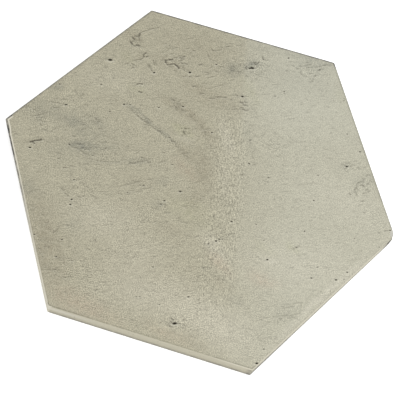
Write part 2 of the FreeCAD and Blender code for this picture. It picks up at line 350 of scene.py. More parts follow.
        ((203.6, 193), (206, 190.6)), ((207.6, 191.4), (210.4, 189.6)), ((189, 187), (191, 188)),
    )),
    "middle dashes": (0.33, 0.9, (
        ((112.6, 143), (117, 143.4)), ((126, 146.6), (128.4, 146.8)), ((117.6, 146), (119, 148)),
        ((122, 141), (124, 141.4)), ((113, 152), (115.6, 153)), ((98.6, 135), (100, 134.2)),
        ((131, 134.6), (132.6, 136)), ((147.6, 143.2), (150, 143.4)), ((153.4, 141), (155, 141.4)),
        ((104, 149.6), (106, 148)), ((121.6, 131), (123, 132.4)), ((168.6, 128), (171, 127)),
        ((134, 150.6), (137, 150)), ((162, 152), (165, 153)), ((116, 130), (118, 129.4)),
    )),
    "west of the middle": (0.46, 1.1, (
        ((73.4, 179.4), (75.6, 179.6)), ((62.8, 167.4), (66.8, 167.4)), ((70.6, 174), (72, 175)),
        ((58, 158.4), (60, 158)), ((65.6, 193.2), (68, 196)), ((82.6, 196), (84.4, 196)),
        ((71, 199.4), (72.6, 199)), ((77.6, 196.4), (81, 197)), ((61, 188), (64, 190.4)),
    )),
    "west dashes": (0.27, 0.9, (
        ((52, 166.8), (54, 167.4)), ((86, 169.2), (89, 169.8)), ((94.6, 168.2), (96.4, 168.6)),
        ((55, 202), (56.4, 202.4)), ((64.8, 203.4), (66, 204)), ((70.6, 182.2), (72, 182)),
        ((106, 185), (108, 184.6)), ((76, 206.4), (78, 207)), ((69, 201), (74, 201.6)),
        ((63, 217.6), (63.8, 217)), ((66.4, 225), (70.4, 225.6)), ((78.8, 227.4), (82, 226.6)),
        ((92.6, 224.6), (94, 225.6)), ((52, 215.6), (54, 215.6)), ((46, 223), (48.6, 222)),
        ((40, 239.6), (44, 240)), ((95, 238.6), (95.6, 241.4)), ((45, 246.6), (49, 247)),
        ((40, 248.6), (36, 248)), ((39.6, 253), (42, 252.4)), ((67.6, 247), (70, 246.4)),
        ((58, 241.6), (63, 241.4)), ((84, 186), (88, 187)), ((100, 192), (104, 191.4)),
        ((30, 206), (34, 206.4)), ((41, 213), (43, 215)), ((36, 198), (40, 199)),
    )),
    "south west scratch": (0.35, 0.9, (
        ((41.4, 269.6), (47, 269.4), (52, 269.7), (56, 269.2)),
    )),
    "south west": (0.17, 1.0, (
        ((102, 292), (106, 291.4), (109.4, 290.2)), ((93, 305), (96, 304)), ((66.4, 295), (68, 295.6)),
        ((71, 294), (72.6, 294.6)), ((86, 293.4), (88.4, 293.8)), ((76, 274.4), (79, 273.4)),
        ((87.6, 271.4), (91, 271.6)), ((100, 259), (102, 258.4)), ((106, 303.4), (113, 303.6)),
        ((54.4, 284), (60, 283.4)), ((84, 296), (86, 297)), ((48.4, 262.6), (52.6, 263.4)),
        ((88, 281), (90, 283)), ((67, 263), (69, 264.4)), ((66, 289), (68, 290)),
        ((95, 313.4), (99, 312)), ((74, 259.6), (77, 260)), ((81, 307.4), (85, 306.4)),
    )),
    "south of the middle": (0.24, 1.0, (
        ((136, 242), (139, 241)), ((161.4, 243), (163, 243.4), (165, 241)), ((137.4, 252), (138.4, 253.6)),
        ((134.8, 254), (136, 254.6)), ((153, 256), (155.4, 257)), ((176, 259.4), (178, 258.6)),
        ((186, 266.8), (190, 267)), ((180.6, 253), (183, 252)), ((133, 257.6), (136, 256.6)),
        ((174, 281.4), (178, 282.4), (181, 281)), ((184.4, 232.6), (186, 232)),
        ((160.8, 225.4), (162, 226.4)), ((183.6, 286), (185.4, 287)), ((152, 291), (153.4, 290)),
        ((177, 244), (181, 246)), ((144, 233.4), (145, 235)), ((133, 235.6), (134, 237)),
        ((146, 290.4), (148, 291)), ((128.6, 228.6), (127, 231)), ((168, 275), (171, 276)),
    )),
    "by the two dots": (0.35, 0.9, (
        ((145.6, 217.2), (148, 217)), ((140.6, 222), (144, 222.6)), ((144, 219.6), (145, 219)),
        ((152, 210.6), (153.4, 211)), ((154, 208), (157, 208.4)), ((157.6, 216), (160.4, 216.4)),
        ((165, 212.2), (171, 212)), ((154, 222), (156, 221)), ((160.6, 196.8), (162, 197.4)),
        ((157.4, 199), (159.4, 199.4)), ((163, 186), (166, 185)), ((167, 170), (168, 169)),
        ((178, 220.6), (180.4, 220)), ((158, 204), (162, 204.6)), ((137.4, 206), (139, 204)),
    )),
    "band, upright": (0.16, 1.2, (
        ((210.8, 204), (211.4, 208)), ((224.6, 202.4), (225, 206.4)), ((213, 259), (215, 256)),
        ((210.8, 263.6), (211.6, 261)), ((216, 270), (217, 264)), ((222, 250.4), (224, 252)),
        ((222.4, 255.6), (224, 255.4)), ((197.8, 276), (198.2, 278)), ((228.6, 283), (229, 286)),
        ((218, 276), (219, 279)), ((222.6, 315), (223.6, 317.4)), ((209, 325.6), (209.6, 328)),
        ((201.4, 323.6), (203, 321.4)), ((211.6, 171), (213, 173)), ((221.4, 176), (222.4, 170)),
        ((229.4, 178.4), (230, 180)), ((242.6, 184), (243.4, 186)), ((220.4, 187), (219.4, 190)),
        ((217, 158), (218, 162)), ((212, 150), (213.4, 155)), ((226, 186), (227.4, 190)),
        ((234, 204), (233, 207.4)), ((214, 214), (212.8, 218)), ((221, 206), (220.6, 209)),
        ((197.4, 312), (197.6, 318)), ((230.4, 288), (229, 291)), ((204, 288), (205.4, 290)),
    )),
    "band's fork": (0.2, 1.2, (
        ((236.6, 197.6), (238, 198.8), (236.4, 199.4)), ((232.4, 200.6), (233.4, 202)),
        ((230.6, 207), (233, 205), (236, 202.4)), ((238.4, 203.6), (240, 202.6)),
        ((228, 213.6), (230.4, 212)), ((229.6, 204.8), (231.6, 205.8)),
    )),
    "band, level": (0.3, 1.0, (
        ((230.6, 221.4), (232.6, 221.6)), ((231, 233.8), (233.4, 233.4)), ((227, 234.6), (230.4, 234.2)),
        ((221.6, 239.2), (223, 239.4)), ((226, 264.6), (229.6, 263.2)), ((193, 281.6), (197, 281.4)),
        ((199, 281.6), (202, 280.6)), ((203.6, 281), (206, 280)), ((201.6, 275), (204, 274.6)),
        ((200, 229.6), (205, 229)), ((195.6, 236.4), (198, 235.6)), ((210.6, 150.8), (212, 151.4)),
        ((203, 129.4), (209, 128.4)), ((236, 238), (240, 237)), ((222, 279.6), (226, 280.4)),
    )),
    "band's head": (0.24, 1.0, (
        ((201.8, 132.4), (205.4, 132.4)), ((211.6, 137.4), (214, 138)), ((216, 139), (221, 138.2)),
        ((198, 136.4), (200, 137)), ((197.4, 140.6), (198.4, 139)), ((205.4, 139), (207.4, 140)),
        ((203, 143.6), (206, 143)), ((205, 134), (208, 136.6)), ((212, 141), (215, 142)),
        ((217, 137), (221, 136)), ((190, 146), (193, 145)), ((218, 151.6), (219.6, 151.2)),
        ((194.6, 128.6), (200, 129.2)), ((226, 120), (229, 119)), ((217, 118), (216, 122)),
    )),
    "turn's edge": (0.25, 1.2, (
        ((248.6, 162.8), (250, 164.6)), ((249.6, 139.8), (252, 140)), ((249.4, 142.2), (250.8, 142.6)),
        ((254, 135), (257, 136.4)), ((249.6, 125), (255, 125.2)), ((252.6, 152), (254.6, 151)),
        ((254.6, 150.6), (256, 149)), ((253, 157.6), (254.6, 159)), ((252.8, 164.6), (256.2, 164.4)),
        ((252.6, 156), (253.4, 153.4)), ((252.4, 163), (254, 163.4)),
    )),
    "third ring, dark": (0.46, 1.1, (
        ((322.6, 65.2), (327, 64.8)), ((318.4, 70.4), (320.6, 69.4), (322.4, 68.8)),
        ((314.6, 76), (316.4, 75)),
    )),
    "third ring": (0.33, 1.2, (
        ((299, 65.8), (301.6, 66.4)), ((304.6, 65.4), (308, 65), (311, 64.4)), ((296.6, 69), (299, 68.4)),
        ((306.6, 67.6), (311.4, 67.4)), ((316, 67.4), (320, 66.4)),
        ((300.6, 71), (301.4, 74), (303.4, 76), (306.6, 76.4)), ((306.6, 70), (308.6, 69.6)),
        ((309.4, 73.6), (312, 73.4)), ((312.4, 81.4), (313.6, 79)), ((292.4, 65.4), (294, 66)),
        ((285.6, 70.4), (287, 70.6)), ((293, 71.6), (295, 71.4)), ((306, 62.6), (309, 62.4)),
    )),
    "north east": (0.28, 1.0, (
        ((281, 79.4), (284, 79.6)), ((282.6, 91.4), (285, 91.2)), ((284, 93.4), (285, 94)),
        ((273, 84.4), (280, 84.6)), ((278, 97.6), (279, 97)), ((306, 98.6), (307, 99.6)),
        ((301, 102.6), (302.4, 102.4)), ((306, 112.6), (308.6, 112.4)), ((336.4, 112.8), (338.6, 112.4)),
        ((321, 96.4), (323.4, 96)), ((326, 91.6), (327, 90.6)), ((288, 118.8), (294, 118.6)),
        ((331.6, 128.2), (334.6, 128.4)), ((300.6, 104.4), (303, 104.2)), ((333.4, 100), (334.4, 102)),
        ((320, 119), (323, 120)), ((331.4, 119.4), (333, 119)), ((321.6, 90.8), (322.4, 91.4)),
        ((330, 133.4), (332, 133)), ((335.6, 153.4), (338, 153.6)), ((289, 62), (293, 61.4)),
        ((340, 103), (341, 101.6)), ((327, 106.6), (329, 107)), ((312, 106), (315, 105.4)),
    )),
    "east of the band": (0.26, 1.1, (
        ((270.6, 141), (271.6, 141.6)), ((267, 144.6), (270, 145.4), (273, 144.2)),
        ((276, 144.2), (280, 144.2)), ((262.6, 146), (264, 144)), ((289.6, 142), (291, 142.4)),
        ((296, 141.8), (297, 142)), ((299, 142.2), (302, 142), (306, 141)), ((311, 142.4), (312, 142.6)),
        ((288.6, 136), (291, 138.4)), ((275.4, 132.6), (276, 134)), ((271.6, 151.4), (273.4, 152)),
        ((295.6, 154), (297, 155)), ((296, 160), (297.4, 158)), ((280, 136.4), (282, 138)),
        ((277, 156.2), (279.4, 156.4)), ((265, 133), (263, 136)), ((270, 149), (268, 148.4)),
    )),
    "east": (0.18, 1.1, (
        ((267.4, 177.6), (270.4, 177.6)), ((258, 176.6), (263, 177.4)), ((281.6, 180), (283, 181)),
        ((286, 179.6), (288, 178.6)), ((287.4, 176), (288.4, 176.6)), ((303, 169), (304, 170)),
        ((283, 184.4), (288, 184.6)), ((265, 181.4), (267, 181.8)), ((315, 183), (317, 184)),
        ((307, 183.4), (313, 183)), ((257, 189), (259, 189.6)), ((280, 191), (283, 192)),
        ((284, 191.4), (291, 191.2)), ((295, 202.6), (297, 202)), ((300, 200), (301.4, 201.4)),
        ((294.6, 200.6), (297, 199.6)), ((293, 211), (296, 211.4)), ((292, 207.4), (294, 207)),
        ((263.6, 210.4), (265, 209.6)), ((286.4, 217.6), (289, 217)), ((301.6, 216), (302.6, 217)),
        ((280, 211), (281, 212.4)), ((319.6, 216), (320, 219)), ((328, 158.6), (331, 158.4)),
        ((259, 184), (259.4, 187)), ((326.4, 197), (328.4, 197)), ((283, 208), (283.4, 210.6)),
    )),
    "east pore's dashes": (0.32, 1.1, (
        ((341.6, 163.6), (342.4, 164.6)), ((344.6, 168.8), (347, 168)), ((346, 171.4), (348, 171.6)),
        ((351, 166.2), (352.6, 164.4), (354, 165)), ((355.4, 161), (356.6, 161)),
        ((358, 163.4), (360.6, 163)), ((357, 167.6), (359.6, 167.6)), ((358.4, 169.4), (360, 169)),
        ((363.6, 167.2), (365.6, 167)), ((343.6, 165), (345.4, 165.6)), ((346, 163), (350, 163.4)),
    )),
    "east loop": (0.44, 1.2, (
        ((357, 184), (356.6, 187), (357.4, 190)), ((356, 192.4), (356.6, 195)),
        ((357, 183.6), (359, 182.4), (362, 181.4)), ((362.6, 178.4), (365, 178.6)),
        ((363.6, 180), (363.4, 182)), ((366.4, 176), (368, 174.4), (370, 175.4)),
        ((362.6, 185), (364, 186.4)), ((349.4, 193), (350.4, 194.6)),
        ((363, 193.6), (366, 192.6), (370, 191)),
        ((359.4, 185.6), (362.6, 185)), ((367, 184.4), (369, 183.6)), ((361, 201.4), (363.6, 201)),
        ((366, 190), (368, 189.6)), ((354, 192), (355.6, 188)),
    )),
    "by the chipped point": (0.18, 1.0, (
        ((376.8, 232.4), (380, 232.8)), ((371.6, 223), (374, 224)), ((355.8, 238), (356, 236)),
        ((369.8, 208), (371, 207.6)), ((357, 217), (358.4, 216)), ((307, 234.4), (309, 233.8)),
        ((335.6, 225.4), (339, 226)), ((343.6, 226), (344, 228)), ((304, 254), (306, 253.6)),
        ((302.6, 254.4), (304, 254)), ((373, 216), (372, 218)), ((379, 239.6), (376, 240)),
        ((352, 260), (361, 259.4)), ((385.6, 224), (384, 227)),
    )),
    "scratch at the chipped point": (0.56, 0.8, (
        ((385, 230.6), (388, 230.6), (390.4, 230.3)),
    )),
    "east soft pore": (0.37, 1.3, (
        ((293, 249), (294, 248.4), (296, 247.4), (297.6, 247)),
    )),
    "by the dark pore": (0.32, 1.0, (
        ((259.6, 258.4), (261, 259)), ((256.4, 257), (257.6, 256.6)), ((265.6, 260), (267, 260)),
    )),
    "south east": (0.18, 1.1, (
        ((306, 265.6), (310, 265.6)), ((307.4, 263.6), (309, 263.4)), ((302.6, 266.4), (306, 267)),
        ((313.6, 290.2), (316, 290)), ((302, 292.2), (304, 292)), ((316, 296.6), (319, 296.6)),
        ((261, 263.4), (262, 264)), ((265, 300), (267.6, 300.6)), ((257.4, 304), (258.6, 305.4)),
        ((296, 284), (298, 285)), ((290, 268), (293, 267)), ((313, 252), (316, 251.4)),
        ((322, 296), (324, 297)), ((330.6, 292), (331.4, 294.6)),
    )),
    "south wisps": (0.3, 1.0, (
        ((281.6, 306.8), (284.6, 306.4)), ((282, 308.6), (286, 307.4)),
        ((287.4, 307.6), (290, 306.6), (293.6, 306.4)), ((287, 304), (290, 304)),
        ((293, 304.4), (296, 303), (299, 302.4), (301.6, 302.8)), ((292, 315), (295, 314.4), (299, 313.4)),
        ((300.6, 304), (301.4, 305)), ((264, 317.6), (270, 317.2)), ((273, 317), (278, 316.4)),
        ((280, 315.8), (284, 315.4)), ((287.6, 318), (289.4, 318)), ((286, 315.4), (290, 315.6)),
        ((280, 318.8), (282, 318.6)), ((259, 319.4), (261.6, 319.6)), ((305, 318.8), (306, 318.4)),
        ((292, 317.4), (296, 318)), ((267, 322.4), (269.4, 322)), ((277.6, 320.8), (277.6, 324)),
        ((284, 321.6), (286, 321)),
    )),
    "whorl": (0.18, 1.0, (
        ((250, 336), (256, 335), (260, 335.2), (263, 333.6)),
        ((253, 339.6), (258, 338.8), (265, 338.4), (270, 336.4)),
        ((258, 340.6), (262, 341), (266, 343)), ((243, 327.6), (247, 329), (251, 329.6)),
        ((260, 344.6), (262, 345)), ((262, 346.4), (264, 346)), ((242, 338), (243, 340)),
        ((268, 337), (272, 339), (275, 343)),
    )),
    "south dots": (0.14, 1.1, (
        ((246, 305.6), (247, 306)), ((236, 303.4), (240, 303.2)), ((261, 301), (265, 300)),
        ((251, 357.6), (253.6, 357.6)), ((202, 352.8), (202.6, 352.4)), ((144.6, 303.8), (145.8, 304)),
        ((160, 339), (161, 339)), ((137, 327.4), (139, 328.4)), ((158, 331), (160.6, 329)),
        ((172.6, 332), (175, 332)), ((166.4, 332.4), (168, 332.6)), ((143, 311), (146, 310.4)),
        ((132, 312.6), (129, 313)), ((216, 304), (219, 305)), ((240, 298), (243, 297)),
    )),
    "south pore's flecks": (0.5, 1.1, (
        ((172.4, 323), (171, 321.6), (170, 321)), ((169.4, 325.6), (171, 326.6), (173, 326.8)),
        ((177.8, 321.2), (178.6, 321.6)), ((178, 323.6), (180, 323.6)), ((171.4, 318.6), (172.6, 319.6)),
        ((183.4, 324), (184, 324.6)), ((183.4, 319.4), (184, 320)),
    )),
}

# Soft stains: the pixels where each one begins and ends, its half width in pixels,
# and how strongly it shows.
SOOT = {
    "cloud's heart": ((76, 146), (94, 148), 9, 0.42),
    "cloud": ((66, 118), (104, 134), 18, 0.18),
    "cloud's tail": ((98, 146), (118, 150), 8, 0.16),
    "cloud's foot": ((84, 159), (104, 158), 7, 0.11),
    "cloud's neck": ((78, 134), (88, 137), 6, 0.09),
    "by the west fork": ((36, 120), (42, 120), 7, 0.11),
    "bluish patch": ((67, 120), (78, 121), 8, 0.16),
    "west shade": ((24, 104), (62, 114), 15, 0.18),
    "west smear": ((52, 87), (63, 87), 5, 0.3),
    "blot": ((92, 121), (102, 123), 6, 0.06),
    "drag's head": ((128, 106), (140, 114), 4, 0.3),
    "drag's middle": ((140, 116), (154, 126), 3.6, 0.26),
    "drag's end": ((154, 127), (176, 144), 3.4, 0.24),
    "north ring": ((226, 70), (262, 66), 12, 0.18),
    "north ring's heart": ((248, 66), (257, 63), 6, 0.24),
    "north ring's west": ((228, 62), (236, 76), 7, 0.18),
    "third ring": ((300, 62), (330, 68), 12, 0.17),
    "far edge": ((280, 50), (333, 65), 5, 0.18),
    "far edge's middle": ((240, 42), (292, 55), 7, 0.15),
    "second drag": ((171, 98), (184, 111), 4, 0.16),
    "west edge": ((20, 180), (34, 192), 9, 0.2),
    "east loop": ((356, 184), (374, 180), 9, 0.15),
    "south wisps": ((270, 312), (304, 312), 11, 0.06),
    "east pore": ((340, 167), (350, 166), 6, 0.12),
    "turn's edge": ((246, 122), (252, 152), 7, 0.12),
    "two dots": ((154, 205), (162, 203), 6, 0.2),
    "middle blot": ((156, 184), (166, 182), 6, 0.2),
    "wavy line": ((106, 164), (150, 160), 5, 0.16),
    "west dots": ((66, 224), (76, 226), 7, 0.12),
    "south pore": ((170, 323), (180, 324), 6, 0.16),
    "south edge": ((232, 300), (240, 304), 6, 0.14),
    "north east": ((262, 74), (332, 86), 26, 0.1),
    "west": ((44, 148), (80, 152), 15, 0.13),
}
UMBER = {
    "fold's head": ((163, 95), (196, 118), 9, 0.26),
    "fold's bend": ((192, 114), (214, 144), 8, 0.2),
    "fold's foot": ((203, 148), (208, 194), 11, 0.22),
    "fold's shadow": ((190, 140), (196, 196), 13, 0.12),
    "fold's tail": ((198, 196), (192, 206), 9, 0.12),
    "broken dashes": ((160, 60), (180, 66), 9, 0.2),
    "north side": ((160, 36), (250, 62), 24, 0.1),
    "north smear": ((190, 92), (246, 108), 14, 0.14),
    "west edge": ((34, 200), (58, 282), 24, 0.26),
    "first ring": ((130, 36), (141, 43), 8, 0.2),
    "small hook": ((139, 57), (148, 54), 5, 0.2),
    "north dots": ((186, 80), (202, 90), 9, 0.14),
    "drag's tail": ((176, 146), (194, 158), 7, 0.18),
    "band's blot": ((214, 278), (230, 290), 9, 0.12),
    "band's foot": ((190, 336), (204, 350), 10, 0.08),
    "black crack": ((24, 142), (46, 140), 8, 0.12),
    "middle": ((120, 176), (150, 180), 12, 0.08),
    "south of the middle": ((160, 224), (180, 236), 12, 0.1),
}
CHALK = {
    "west middle": ((82, 214), (126, 226), 26, 0.14),
    "band's head": ((222, 122), (230, 156), 9, 0.16),
    "band": ((222, 160), (226, 196), 8, 0.08),
    "band's middle": ((204, 232), (222, 258), 11, 0.19),
    "south": ((196, 318), (238, 338), 30, 0.25),
    "north west": ((88, 76), (140, 84), 22, 0.09),
    "south middle": ((118, 286), (190, 304), 32, 0.19),
    "east": ((318, 190), (384, 224), 34, 0.12),
    "south east": ((262, 262), (336, 268), 40, 0.16),
    "above the loop": ((180, 136), (192, 140), 6, 0.14),
    "by the black pore": ((268, 262), (274, 262), 5, 0.16),
    "middle": ((112, 256), (160, 252), 20, 0.1),
    "south east edge": ((264, 352), (376, 246), 4, 0.28),
}
OLIVE = {
    "middle loop": ((176, 126), (188, 134), 8, 0.24),
    "middle": ((172, 200), (204, 222), 18, 0.12),
    "north": ((130, 84), (142, 92), 8, 0.14),
    "turn's head": ((244, 80), (256, 104), 8, 0.14),
    "east edge": ((338, 84), (346, 110), 8, 0.08),
    "west": ((124, 54), (132, 60), 8, 0.1),
    "south east": ((256, 244), (270, 252), 8, 0.1),
    "soft pore": ((288, 244), (298, 250), 6, 0.16),
}
CLAY = {
    "south west": ((52, 288), (112, 320), 15, 0.16),
    "band": ((212, 256), (228, 272), 9, 0.16),
    "east of the band": ((254, 276), (272, 284), 10, 0.16),
    "south": ((148, 326), (186, 342), 9, 0.1),
    "fold": ((176, 160), (192, 176), 9, 0.12),
}
# Where the print's grain is stronger than elsewhere.
COARSE = {
    "second ring": ((232, 66), (262, 66), 15, 0.9),
    "second ring's east": ((256, 76), (268, 54), 8, 0.5),
    "broken dashes": ((168, 62), (188, 62), 9, 0.6),
    "first ring": ((133, 36), (140, 44), 8, 0.6),
    "cloud": ((84, 146), (108, 154), 13, 0.8),
    "west shade": ((28, 108), (50, 122), 13, 0.5),
    "north west": ((62, 92), (96, 130), 16, 0.35),
    "two dots": ((142, 214), (166, 212), 12, 0.5),
    "drag": ((128, 106), (176, 144), 5, 0.9),
    "east of the band": ((264, 142), (282, 154), 10, 0.7),
    "east pore": ((346, 168), (362, 166), 7, 0.6),
    "east loop": ((354, 190), (370, 184), 9, 0.7),
    "third ring": ((298, 68), (320, 74), 12, 0.7),
    "south wisps": ((272, 314), (300, 312), 10, 0.5),
    "south pore": ((166, 324), (190, 322), 9, 0.8),
    "west of the middle": ((62, 172), (92, 196), 16, 0.4),
    "south west": ((64, 262), (98, 288), 18, 0.5),
    "point": ((370, 212), (378, 222), 8, 0.5),
    "whorl": ((246, 334), (268, 340), 9, 0.5),
    "south": ((130, 222), (152, 236), 12, 0.3),
}
# The line along which the trowelled band runs down the face.
BAND_HEAD = (232, 104)
BAND_BEND = (226, 200)
BAND_FOOT = (206, 350)
# The line where the print turns from its warm half to its pale half.
TURN_HEAD = (246, 52)
TURN_FOOT = (228, 362)
# The photograph's pixels where the walking face and the foot have their corners, from
# the right-hand one on, anticlockwise. The fired piece isn't quite a regular hexagon.
FACE_CORNERS = (
    (395.1, 236.6), (334.4, 62.6), (151.7, 10.0), (5.4, 118.6), (47.5, 306.4), (252.6, 370.4),
)
FOOT_CORNERS = (
    (391.2, 241.6), (331.4, 69.1), (150.6, 17.0), (6.5, 124.9), (47.4, 311.9), (249.8, 375.3),
)
# The pixels of the shallow flake beside the chipped point, and of the painted shadow
# along the side below it, with that shadow's height over the floor.
FLAKE_MIDDLE = (395.8, 234.2)
SHADOW_START = (393.0, 236.0)
SHADOW_END = (382.8, 247.6)
SHADOW_LEVEL = 0.005


def length(name, description, millimetres, **limits):
    """A length that a user may change, given in millimetres and kept in metres."""
    return FloatProperty(
        name=name,
        description=description,
        default=millimetres * MM,
        subtype="DISTANCE",
        unit="LENGTH",
        precision=5,
        **limits,
    )


def shade(name, description, red, green, blue):
    """A screen tone that a user may change."""
    return FloatVectorProperty(
        name=name,
        description=description,
        default=(red / 255, green / 255, blue / 255),
        subtype="COLOR_GAMMA",
        min=0,
        max=1,
    )


class TileSizes(bpy.types.PropertyGroup):
    """The pressed body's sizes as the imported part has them, and the wear at its point."""

    corner_radius: length("Corner Radius", "Upright corners of the hexagon", 0.8)
    arris_radius: length("Arris Radius", "Rounded edge of the walking face", 0.45)
    bevel_height: length("Bevel Height", "Band that leans in above the back", 2.2)
    bevel_inset: length("Bevel Inset", "How far that band leans in", 0.7)
    border_width: length("Border Width", "Plain land round the cells", 7.0)
    rib_width: length("Rib Width", "Rib between two bonding cells", 3.2)
    cell_depth: length("Cell Depth", "Depth of a bonding cell", 0.8)
    cell_floor_radius: length("Cell Floor Radius", "Rounding of a cell's floor", 1.2)
    cell_rings: IntProperty(
        name="Cell Rings", description="Rings of bonding cells", default=3, min=1, max=6
    )
    cell_wall_lean: FloatProperty(
        name="Cell Wall Lean",
        description="Lean of a cell's walls",
        default=math.radians(40),
        subtype="ANGLE",
    )
    chip_radius: length("Chip Radius", "Curve of the hollow at the chipped point", 4.0)
    chip_beyond: length("Chip Beyond", "From the point out to its centre", 1.6)
    chip_aside: length("Chip Aside", "From the point to its centre, sideways", 0.95)
    chip_above: length("Chip Above", "From the face up to its centre", 2.0)
    point_wear: length("Point Wear", "How far the chipped point is worn back", 0.95)
    flake_reach: length("Flake Reach", "Half width of the flake beside the chip", 2.9)
    flake_depth: length("Flake Depth", "Depth of that flake", 0.5)


class TileFace(bpy.types.PropertyGroup):
    """The walking face's relief and tones."""

    mesh_step: length("Mesh Step", "Spacing of the face's points", 0.9, min=0.0004)
    pore_depth: length("Pore Depth", "Depth of the darkest pores", 0.45)
    stroke_depth: length("Stroke Depth", "Depth of the darkest strokes", 0.12)
    roll: length("Roll", "Height of the face's slow waves", 0.035)
    trowel: length("Trowel", "Height of the trowelled band's ripples", 0.05)
    small_pores: IntProperty(
        name="Small Pores", description="Pores scattered at random", default=240, min=0
    )
    small_dashes: IntProperty(
        name="Small Dashes", description="Dashes scattered at random", default=420, min=0
    )
    seed: IntProperty(name="Seed", description="Start of the scatter", default=7)
    warm: shade("Warm Half", "Tone of the print's warm half", 176, 171, 149)
    pale: shade("Pale Half", "Tone of the print's pale half", 193, 191, 173)
    grain: FloatProperty(
        name="Grain", description="Strength of the print's fine grain", default=0.75, min=0
    )
    body: shade("Fired Body", "Tone of the bare porcelain on the sides and the back", 194, 189, 168)


class StageLight(bpy.types.PropertyGroup):
    """The studio's light."""

    sky: FloatProperty(name="Sky", description="Strength of the even light", default=0.72, min=0)
    lamp: FloatProperty(
        name="Lamp", description="Power of the soft lamp", default=3.34, subtype="POWER"
    )
    glow: FloatProperty(
        name="Floor Glow", description="What the camera sees the floor give by itself", default=0.52
    )


def in_millimetres(settings):
    """A group's values as plain numbers, with its lengths in millimetres."""
    values = SimpleNamespace()
    for key, kind in settings.bl_rna.properties.items():
        if key not in ("rna_type", "name"):
            value = getattr(settings, key)
            is_length = getattr(kind, "subtype", "") == "DISTANCE"
            setattr(values, key, value / MM if is_length else value)
    return values


def smooth(values, low, high):
    """Nought below low, one above high, and an eased step between them."""
    share = np.clip((values - low) / (high - low), 0, 1)
    return share * share * (3 - 2 * share)


def linear(tone):
    """A tone as it looks on screen, as the light it stands for."""
    parts = [c / 12.92 if c <= 0.04045 else ((c + 0.055) / 1.055) ** 2.4 for c in tone]
    return (*parts, 1.0)


def tone(red, green, blue):
    """A screen tone from nought to 255 as light."""
    return linear((red / 255, green / 255, blue / 255))


# The pressed body


def even_steps(span, step):
    """Shares of a span that split it into near equal steps, without its end."""
    count = max(1, round(span / step))
    return [k / count for k in range(count)]


def hexagon_loop(apothem, radius, sides, rounding, first_normal=math.pi / 2, middle=(0, 0)):
    """Points round a hexagon with rounded corners, anticlockwise, in millimetres.

    sides holds for each side the shares at which it has points, and rounding is the
    number of steps in a corner, so loops of different widths match point for point.
    """
    points = []
    reach = (apothem - radius) / math.cos(HALF_TURN)
    corners = []
    for side in range(SIDES):
        direction = first_normal + side * TURN + HALF_TURN
        x = middle[0] + reach * math.cos(direction)
        y = middle[1] + reach * math.sin(direction)
        corners.append((direction, x, y))
    for side in range(SIDES):
        direction, x, y = corners[side]
        _, next_x, next_y = corners[(side + 1) % SIDES]
        for k in range(rounding):
            angle = direction - HALF_TURN + TURN * k / rounding
            points.append((x + radius * math.cos(angle), y + radius * math.sin(angle)))
        normal = direction + HALF_TURN
        start_x = x + radius * math.cos(normal)
        start_y = y + radius * math.sin(normal)
        for share in sides[(side + 1) % SIDES]:
            points.append((start_x + (next_x - x) * share, start_y + (next_y - y) * share))
    return points


class Shell:
    """The tile's points and faces as they are laid down."""

    def __init__(self):
        self.points = []
        self.faces = []
        self.kinds = []

    def add(self, x, y, z):
        """One more point. Returns its number."""
        self.points.append((x, y, z))
        return len(self.points) - 1

    def loop(self, flat_points, height):
        """A closed row of points at one height. Returns their numbers."""
        return [self.add(x, y, height) for x, y in flat_points]

    def face(self, corners, kind):
        """One more face of a kind of surface."""
        self.faces.append(tuple(corners))
        self.kinds.append(kind)

    def band(self, lower, upper, kind):
        """Four-sided faces between two rows, the lower one outside or below."""
        count = len(lower)
        for k in range(count):
            after = (k + 1) % count
            self.face((lower[k], lower[after], upper[after], upper[k]), kind)

    def fill(self, rim, holes, inner, height, kind, looks_up):
        """Triangles over a flat area inside a rim, round its holes, through inner points."""
        known = list(rim)
        rings = [list(range(len(rim)))]
        for hole in holes:
            rings.append(list(range(len(known), len(known) + len(hole))))
            known += hole
        flat = [Vector(self.points[k][:2]) for k in known]
        flat += [Vector(p) for p in inner]
        inside_with_holes = 2
        made = geometry.delaunay_2d_cdt(flat, [], rings, inside_with_holes, 1e-7)
        places, _, corners, came_from = made[:4]
        numbers = []
        for place, source in zip(places, came_from):
            old = [k for k in source if k < len(known)]
            numbers.append(known[old[0]] if old else self.add(place.x, place.y, height))
        for triangle in corners:
            turned = triangle if looks_up else triangle[::-1]
            self.face((numbers[k] for k in turned), kind)


WALKING, BARE = 0, 1


def side_shares(step, fine_step, fine_reach, span):
    """For each side, where its points stand: closer together near the +X point."""
    plain = even_steps(span, step)
    away = []
    place = 0.0
    while place < span - TINY:
        near = min(1.0, max(0.0, (place - fine_reach) / fine_reach))
        away.append(place)
        place += fine_step + (step - fine_step) * near
    away = [share / place for share in away]
    toward = [0.0] + [1 - share for share in away[:0:-1]]
    # Sides in the order of their normals: 90, 150, 210, 270, 330 and 30 degrees.
    return [plain, plain, plain, plain, toward, away]


